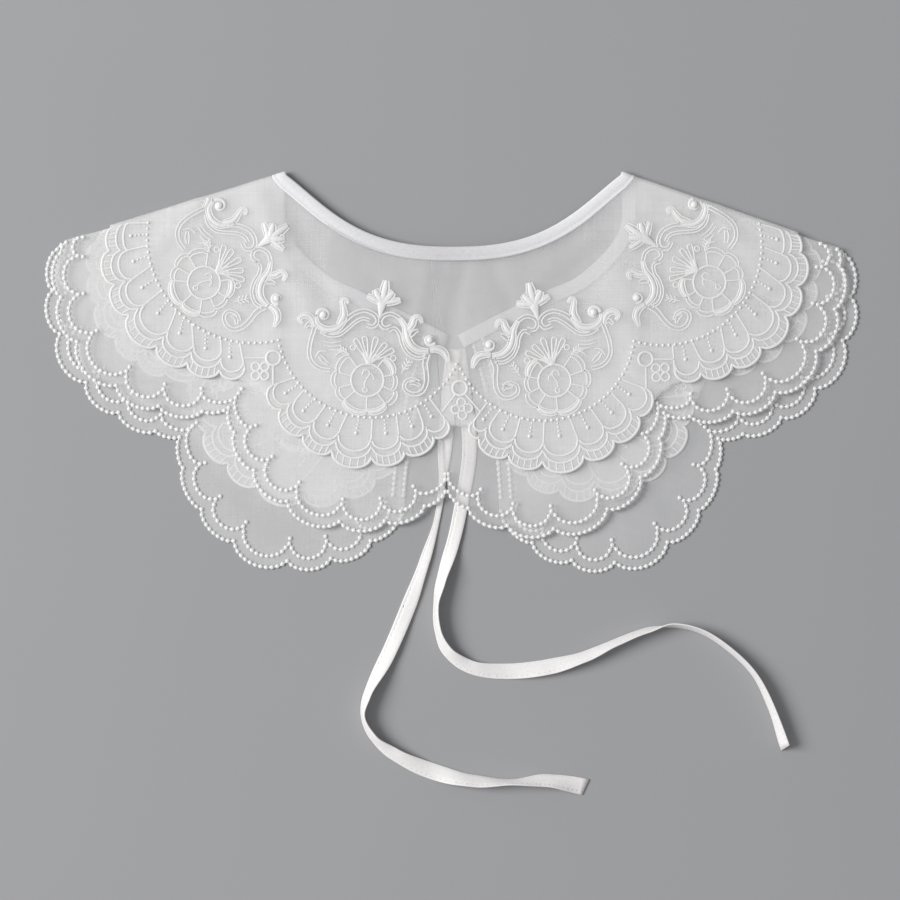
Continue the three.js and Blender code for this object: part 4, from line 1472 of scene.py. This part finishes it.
class Tape:
    """A tie's middle line with its width, tilt and height, read at even steps."""

    def __init__(self, rows):
        self.rows = rows
        plan = [Vector((row.x, row.y)) for row in rows]
        self.plan = centripetal(plan, TIE_STEPS)
        self.count = len(self.plan) - 1

    def section(self, k):
        """Middle point, direction across the tape, direction through it, and its width."""
        at = k / TIE_STEPS
        low = min(int(at), len(self.rows) - 2)
        blend = smoothstep(0, 1, at - low)
        here, there = self.rows[low], self.rows[low + 1]
        width = here.width + (there.width - here.width) * blend
        tilt = math.radians(here.tilt + (there.tilt - here.tilt) * blend)
        lift = here.lift + (there.lift - here.lift) * blend
        before, after = self.plan[max(k - 1, 0)], self.plan[min(k + 1, self.count)]
        heading = (after - before).normalized()
        across = Vector((heading.y, -heading.x, 0)) * math.cos(tilt)
        across.z = math.sin(tilt)
        through = across.cross(heading.to_3d()).normalized()
        point = self.plan[k].to_3d()
        rise = width * abs(math.sin(tilt)) + TIE_WALL * abs(math.cos(tilt))
        point.z = lift + rise / 2
        return point, across, through, width

    def rings(self):
        rings = []
        for k in range(self.count + 1):
            point, across, through, width = self.section(k)
            heading = through.cross(across)
            slant = END_SLANT if k == self.count else 0.0
            ring = []
            for face in (1, -1):
                section = TIE_SECTION if face > 0 else TIE_SECTION[::-1]
                for share, height in section:
                    spot = point + across * share * width / 2 - heading * share * slant
                    ring.append((spot + through * height * face * TIE_WALL / 2) * MM)
            rings.append(ring)
        return rings

    def middle_line(self):
        return [self.section(k)[0] * MM for k in range(self.count + 1)]

    def stitches(self, mesh):
        """A running stitch near one edge, on the upper face."""
        line = Line([p.to_2d() for p in self.plan])
        count = round(line.length / TIE_STITCH_PITCH)
        dome = Dome(8, 4)
        for n in range(1, count):
            share = n / count
            goal, reach, k = share * line.length, line.reach, 0
            while k < self.count and reach[k] < goal:
                k += 1
            point, across, through, width = self.section(k)
            face = 1 if through.z >= 0 else -1
            spot = point + across * TIE_STITCH_SHARE * width / 2 + through * face * TIE_WALL * 0.28
            heading = through.cross(across)
            turn = Matrix((across, heading, through)).transposed().to_4x4()
            size = Matrix.Diagonal((*TIE_STITCH_SIZE, 1))
            dome.add(mesh, Matrix.Translation(spot * MM) @ turn @ size)
        dome.remove()


def centripetal(points, steps):
    """A centripetal Catmull-Rom line, with the same number of steps from each point to the next."""
    ends = [2 * points[0] - points[1], *points, 2 * points[-1] - points[-2]]
    line = []
    for quad in zip(ends, ends[1:], ends[2:], ends[3:]):
        knots = [0.0]
        for a, b in zip(quad, quad[1:]):
            knots.append(knots[-1] + math.sqrt((b - a).length))
        for k in range(steps):
            t = knots[1] + (knots[2] - knots[1]) * k / steps
            level = list(quad)
            for lows, span in (((0, 1, 2), 1), ((0, 1), 2), ((1,), 1)):
                level = [
                    level[i].lerp(level[i + 1], (t - knots[low]) / (knots[low + span] - knots[low]))
                    for i, low in enumerate(lows)
                ]
            line.append(level[0])
    return [*line, points[-1].copy()]


# ---- settings ------------------------------------------------------------------------------

class CollarCloth(bpy.types.PropertyGroup):
    """Cloth of the two tiers."""

    thickness: FloatProperty(
        name="Cloth thickness", description="Thickness of the organza",
        default=0.0002, min=0.00005, max=0.002, precision=5, unit="LENGTH",
    )
    colour: FloatVectorProperty(
        name="Cloth colour", description="Colour of the organza",
        default=linear("#fdfcfb"), size=4, min=0.0, max=1.0, subtype="COLOR",
    )
    opacity: FloatProperty(
        name="Haze", description="How much of the light one face of the cloth stops",
        default=0.25, min=0.0, max=1.0, subtype="FACTOR",
    )


class CollarStitches(bpy.types.PropertyGroup):
    """Raised round stitches of the lower tier, and thread of the upper one."""

    diameter: FloatProperty(
        name="Stitch diameter", description="Diameter of a raised round stitch",
        default=0.0023, min=0.0005, max=0.006, precision=4, unit="LENGTH",
    )
    pitch: FloatProperty(
        name="Stitch spacing", description="Distance from one round stitch to the next",
        default=0.0028, min=0.001, max=0.01, precision=4, unit="LENGTH",
    )
    colour: FloatVectorProperty(
        name="Thread colour", description="Colour of the embroidery thread",
        default=linear("#efeeec"), size=4, min=0.0, max=1.0, subtype="COLOR",
    )


class CollarTapes(bpy.types.PropertyGroup):
    """Neck binding and ties."""

    thickness: FloatProperty(
        name="Binding thickness", description="Thickness of the folded binding",
        default=0.0019, min=0.0005, max=0.004, precision=4, unit="LENGTH",
    )
    binding_colour: FloatVectorProperty(
        name="Binding colour", description="Colour of the neck binding",
        default=linear("#f1f0f1"), size=4, min=0.0, max=1.0, subtype="COLOR",
    )
    tie_colour: FloatVectorProperty(
        name="Tie colour", description="Colour of the two ties",
        default=linear("#f3f0ee"), size=4, min=0.0, max=1.0, subtype="COLOR",
    )


class CollarStage(bpy.types.PropertyGroup):
    """Floor and light."""

    floor_colour: FloatVectorProperty(
        name="Floor colour", description="Colour of the background paper",
        default=linear("#a3a3a4"), size=4, min=0.0, max=1.0, subtype="COLOR",
    )
    key_power: FloatProperty(
        name="Key light", description="Power of the large soft light on the left, in watts",
        default=176.0, min=0.0, soft_max=1000.0, subtype="POWER",
    )
    fill: FloatProperty(
        name="Fill light", description="Strength of the light from all round",
        default=0.4, min=0.0, soft_max=3.0,
    )


# ---- operators -----------------------------------------------------------------------------

def declare(piece, slot, *nodes):
    """Fixes a piece to the collar's one body, and hides the parts of the model that it stands for.
    """
    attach(piece, "root")
    if nodes:
        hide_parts(*nodes)


class COLLAR_OT_stage(bpy.types.Operator):
    """Make the floor, the lights and the camera that looks straight down"""

    bl_idname = "collar.stage"
    bl_label = "Stage"

    def execute(self, context):
        settings = context.scene.collar_stage
        mesh = bmesh.new()
        bmesh.ops.create_grid(mesh, x_segments=2, y_segments=2, size=FLOOR_HALF_WIDTH)
        paper = material_named("Seamless paper", seamless_paper, settings.floor_colour)
        floor = new_piece("floor", mesh, [paper])

        key = bpy.data.lights.new("key", "AREA")
        key.energy = settings.key_power
        key.shape = "DISK"
        key.size = KEY_SIZE
        key_light = bpy.data.objects.new("key", key)
        key_light.location = KEY_PLACE
        key_light.rotation_euler = (-Vector(KEY_PLACE)).to_track_quat("-Z", "Y").to_euler()
        context.scene.collection.objects.link(key_light)

        world = bpy.data.worlds.new("studio")
        world.use_nodes = True
        background = world.node_tree.nodes["Background"]
        background.inputs["Color"].default_value = linear("#f2f4f8")
        background.inputs["Strength"].default_value = settings.fill
        context.scene.world = world

        lens = bpy.data.cameras.new("camera")
        lens.lens = CAMERA_LENS
        lens.sensor_width = CAMERA_SENSOR
        camera = bpy.data.objects.new("camera", lens)
        camera.location = CAMERA_PLACE
        context.scene.collection.objects.link(camera)
        context.scene.camera = camera
        context.scene.view_settings.view_transform = "Standard"
        context.scene.cycles.transparent_max_bounces = SHEER_BOUNCES
        context.scene.cycles.max_bounces = CLOTH_BOUNCES
        context.scene.cycles.diffuse_bounces = CLOTH_BOUNCES
        return {"FINISHED"}


class COLLAR_OT_ties(bpy.types.Operator):
    """Make the two tape ties, with their stitching"""

    bl_idname = "collar.ties"
    bl_label = "Ties"

    def execute(self, context):
        settings = context.scene.collar_tapes
        tape_material = material_named(
            "Cotton sateen tape", woven_tape, settings.tie_colour, linear("#e8e5e3"), 0.0005, 0.5
        )
        thread = material_named("Rayon thread", satin_thread, context.scene.collar_stitches.colour)
        for side in ("left", "right"):
            tape = Tape(TIE_ROWS[side])
            piece = new_piece(f"tie_tape_{side}", closed_tape(tape.rings()), [tape_material])
            declare(piece, "tie_tape", f"tie_{side}")
            mesh = bmesh.new()
            tape.stitches(mesh)
            stitching = new_piece(f"tie_stitching_{side}", mesh, [thread])
            declare(stitching, "tie_tape")
            path = tape.middle_line()
        return {"FINISHED"}


class COLLAR_OT_beaded_tier(bpy.types.Operator):
    """Make the lower tier: sheer cloth edged with two lines of raised round stitches"""

    bl_idname = "collar.beaded_tier"
    bl_label = "Lower tier"

    def execute(self, context):
        cloth, stitches = context.scene.collar_cloth, context.scene.collar_stitches
        sheer = material_named(
            "Plain organza", organza, cloth.colour, cloth.opacity, BEADED_HAZE, RIGHT_SHADE_HAZE
        )
        thread = material_named("Rayon thread", satin_thread, stitches.colour)
        for side in ("left", "right"):
            piece = tier_cloth(side, "beaded", cloth, sheer)
            declare(piece, "beaded_organza", f"beaded_tier_{side}")
            mesh = bmesh.new()
            for half in ("back", "front"):
                beaded_edge(side, half, stitches).lay(mesh)
            edge = new_piece(f"beaded_edge_{side}", mesh, [thread])
            declare(edge, "beaded_organza")
        return {"FINISHED"}


class COLLAR_OT_lace_tier(bpy.types.Operator):
    """Make the upper tier: sheer cloth with an embroidered border and medallions"""

    bl_idname = "collar.lace_tier"
    bl_label = "Upper tier"

    def execute(self, context):
        cloth, stitches = context.scene.collar_cloth, context.scene.collar_stitches
        sheer = material_named(
            "Embroidered organza", organza, cloth.colour, cloth.opacity, LACE_HAZE, 1.0
        )
        thread = material_named("Rayon thread", satin_thread, stitches.colour)
        for side in ("left", "right"):
            piece = tier_cloth(side, "lace", cloth, sheer)
            declare(piece, "embroidered_organza", f"lace_tier_{side}")
            mesh = bmesh.new()
            for half in ("back", "front"):
                lace_work(side, half).lay(mesh)
            threads = new_piece(f"lace_embroidery_{side}", mesh, [thread])
            declare(threads, "embroidered_organza")
        return {"FINISHED"}


class COLLAR_OT_binding(bpy.types.Operator):
    """Make the folded tape that binds the neck edge"""

    bl_idname = "collar.binding"
    bl_label = "Neck binding"

    def execute(self, context):
        settings = context.scene.collar_tapes
        tape = material_named(
            "Cotton binding tape", binding_tape, settings.binding_colour, linear("#e4e3e5")
        )
        mesh = closed_tape(binding_rings(settings.thickness / MM))
        piece = new_piece("binding_tape", mesh, [tape])
        declare(piece, "binding_tape", "neck_binding")
        return {"FINISHED"}


class COLLAR_PT_pieces(bpy.types.Panel):
    """The collar's pieces, each made by its own button"""

    bl_idname = "COLLAR_PT_pieces"
    bl_label = "False collar"
    bl_space_type = "VIEW_3D"
    bl_region_type = "UI"
    bl_category = "Collar"

    def draw(self, context):
        layout = self.layout
        scene = context.scene
        groups = (
            (scene.collar_stage, ("collar.stage",)),
            (scene.collar_tapes, ("collar.ties", "collar.binding")),
            (scene.collar_cloth, ("collar.beaded_tier", "collar.lace_tier")),
            (scene.collar_stitches, ()),
        )
        for settings, operators in groups:
            box = layout.box()
            for name in settings.__annotations__:
                box.prop(settings, name)
            for operator in operators:
                box.operator(operator)


CLASSES = (
    CollarCloth,
    CollarStitches,
    CollarTapes,
    CollarStage,
    COLLAR_OT_stage,
    COLLAR_OT_ties,
    COLLAR_OT_beaded_tier,
    COLLAR_OT_lace_tier,
    COLLAR_OT_binding,
    COLLAR_PT_pieces,
)
SETTINGS = {
    "collar_cloth": CollarCloth,
    "collar_stitches": CollarStitches,
    "collar_tapes": CollarTapes,
    "collar_stage": CollarStage,
}


def register():
    for item in CLASSES:
        bpy.utils.register_class(item)
    for name, group in SETTINGS.items():
        setattr(bpy.types.Scene, name, PointerProperty(type=group))


def unregister():
    for name in SETTINGS:
        delattr(bpy.types.Scene, name)
    for item in reversed(CLASSES):
        bpy.utils.unregister_class(item)


def main():
    register()
    bpy.ops.collar.stage()
    bpy.ops.collar.ties()
    bpy.ops.collar.beaded_tier()
    bpy.ops.collar.lace_tier()
    bpy.ops.collar.binding()


if __name__ == "__main__":
    main()
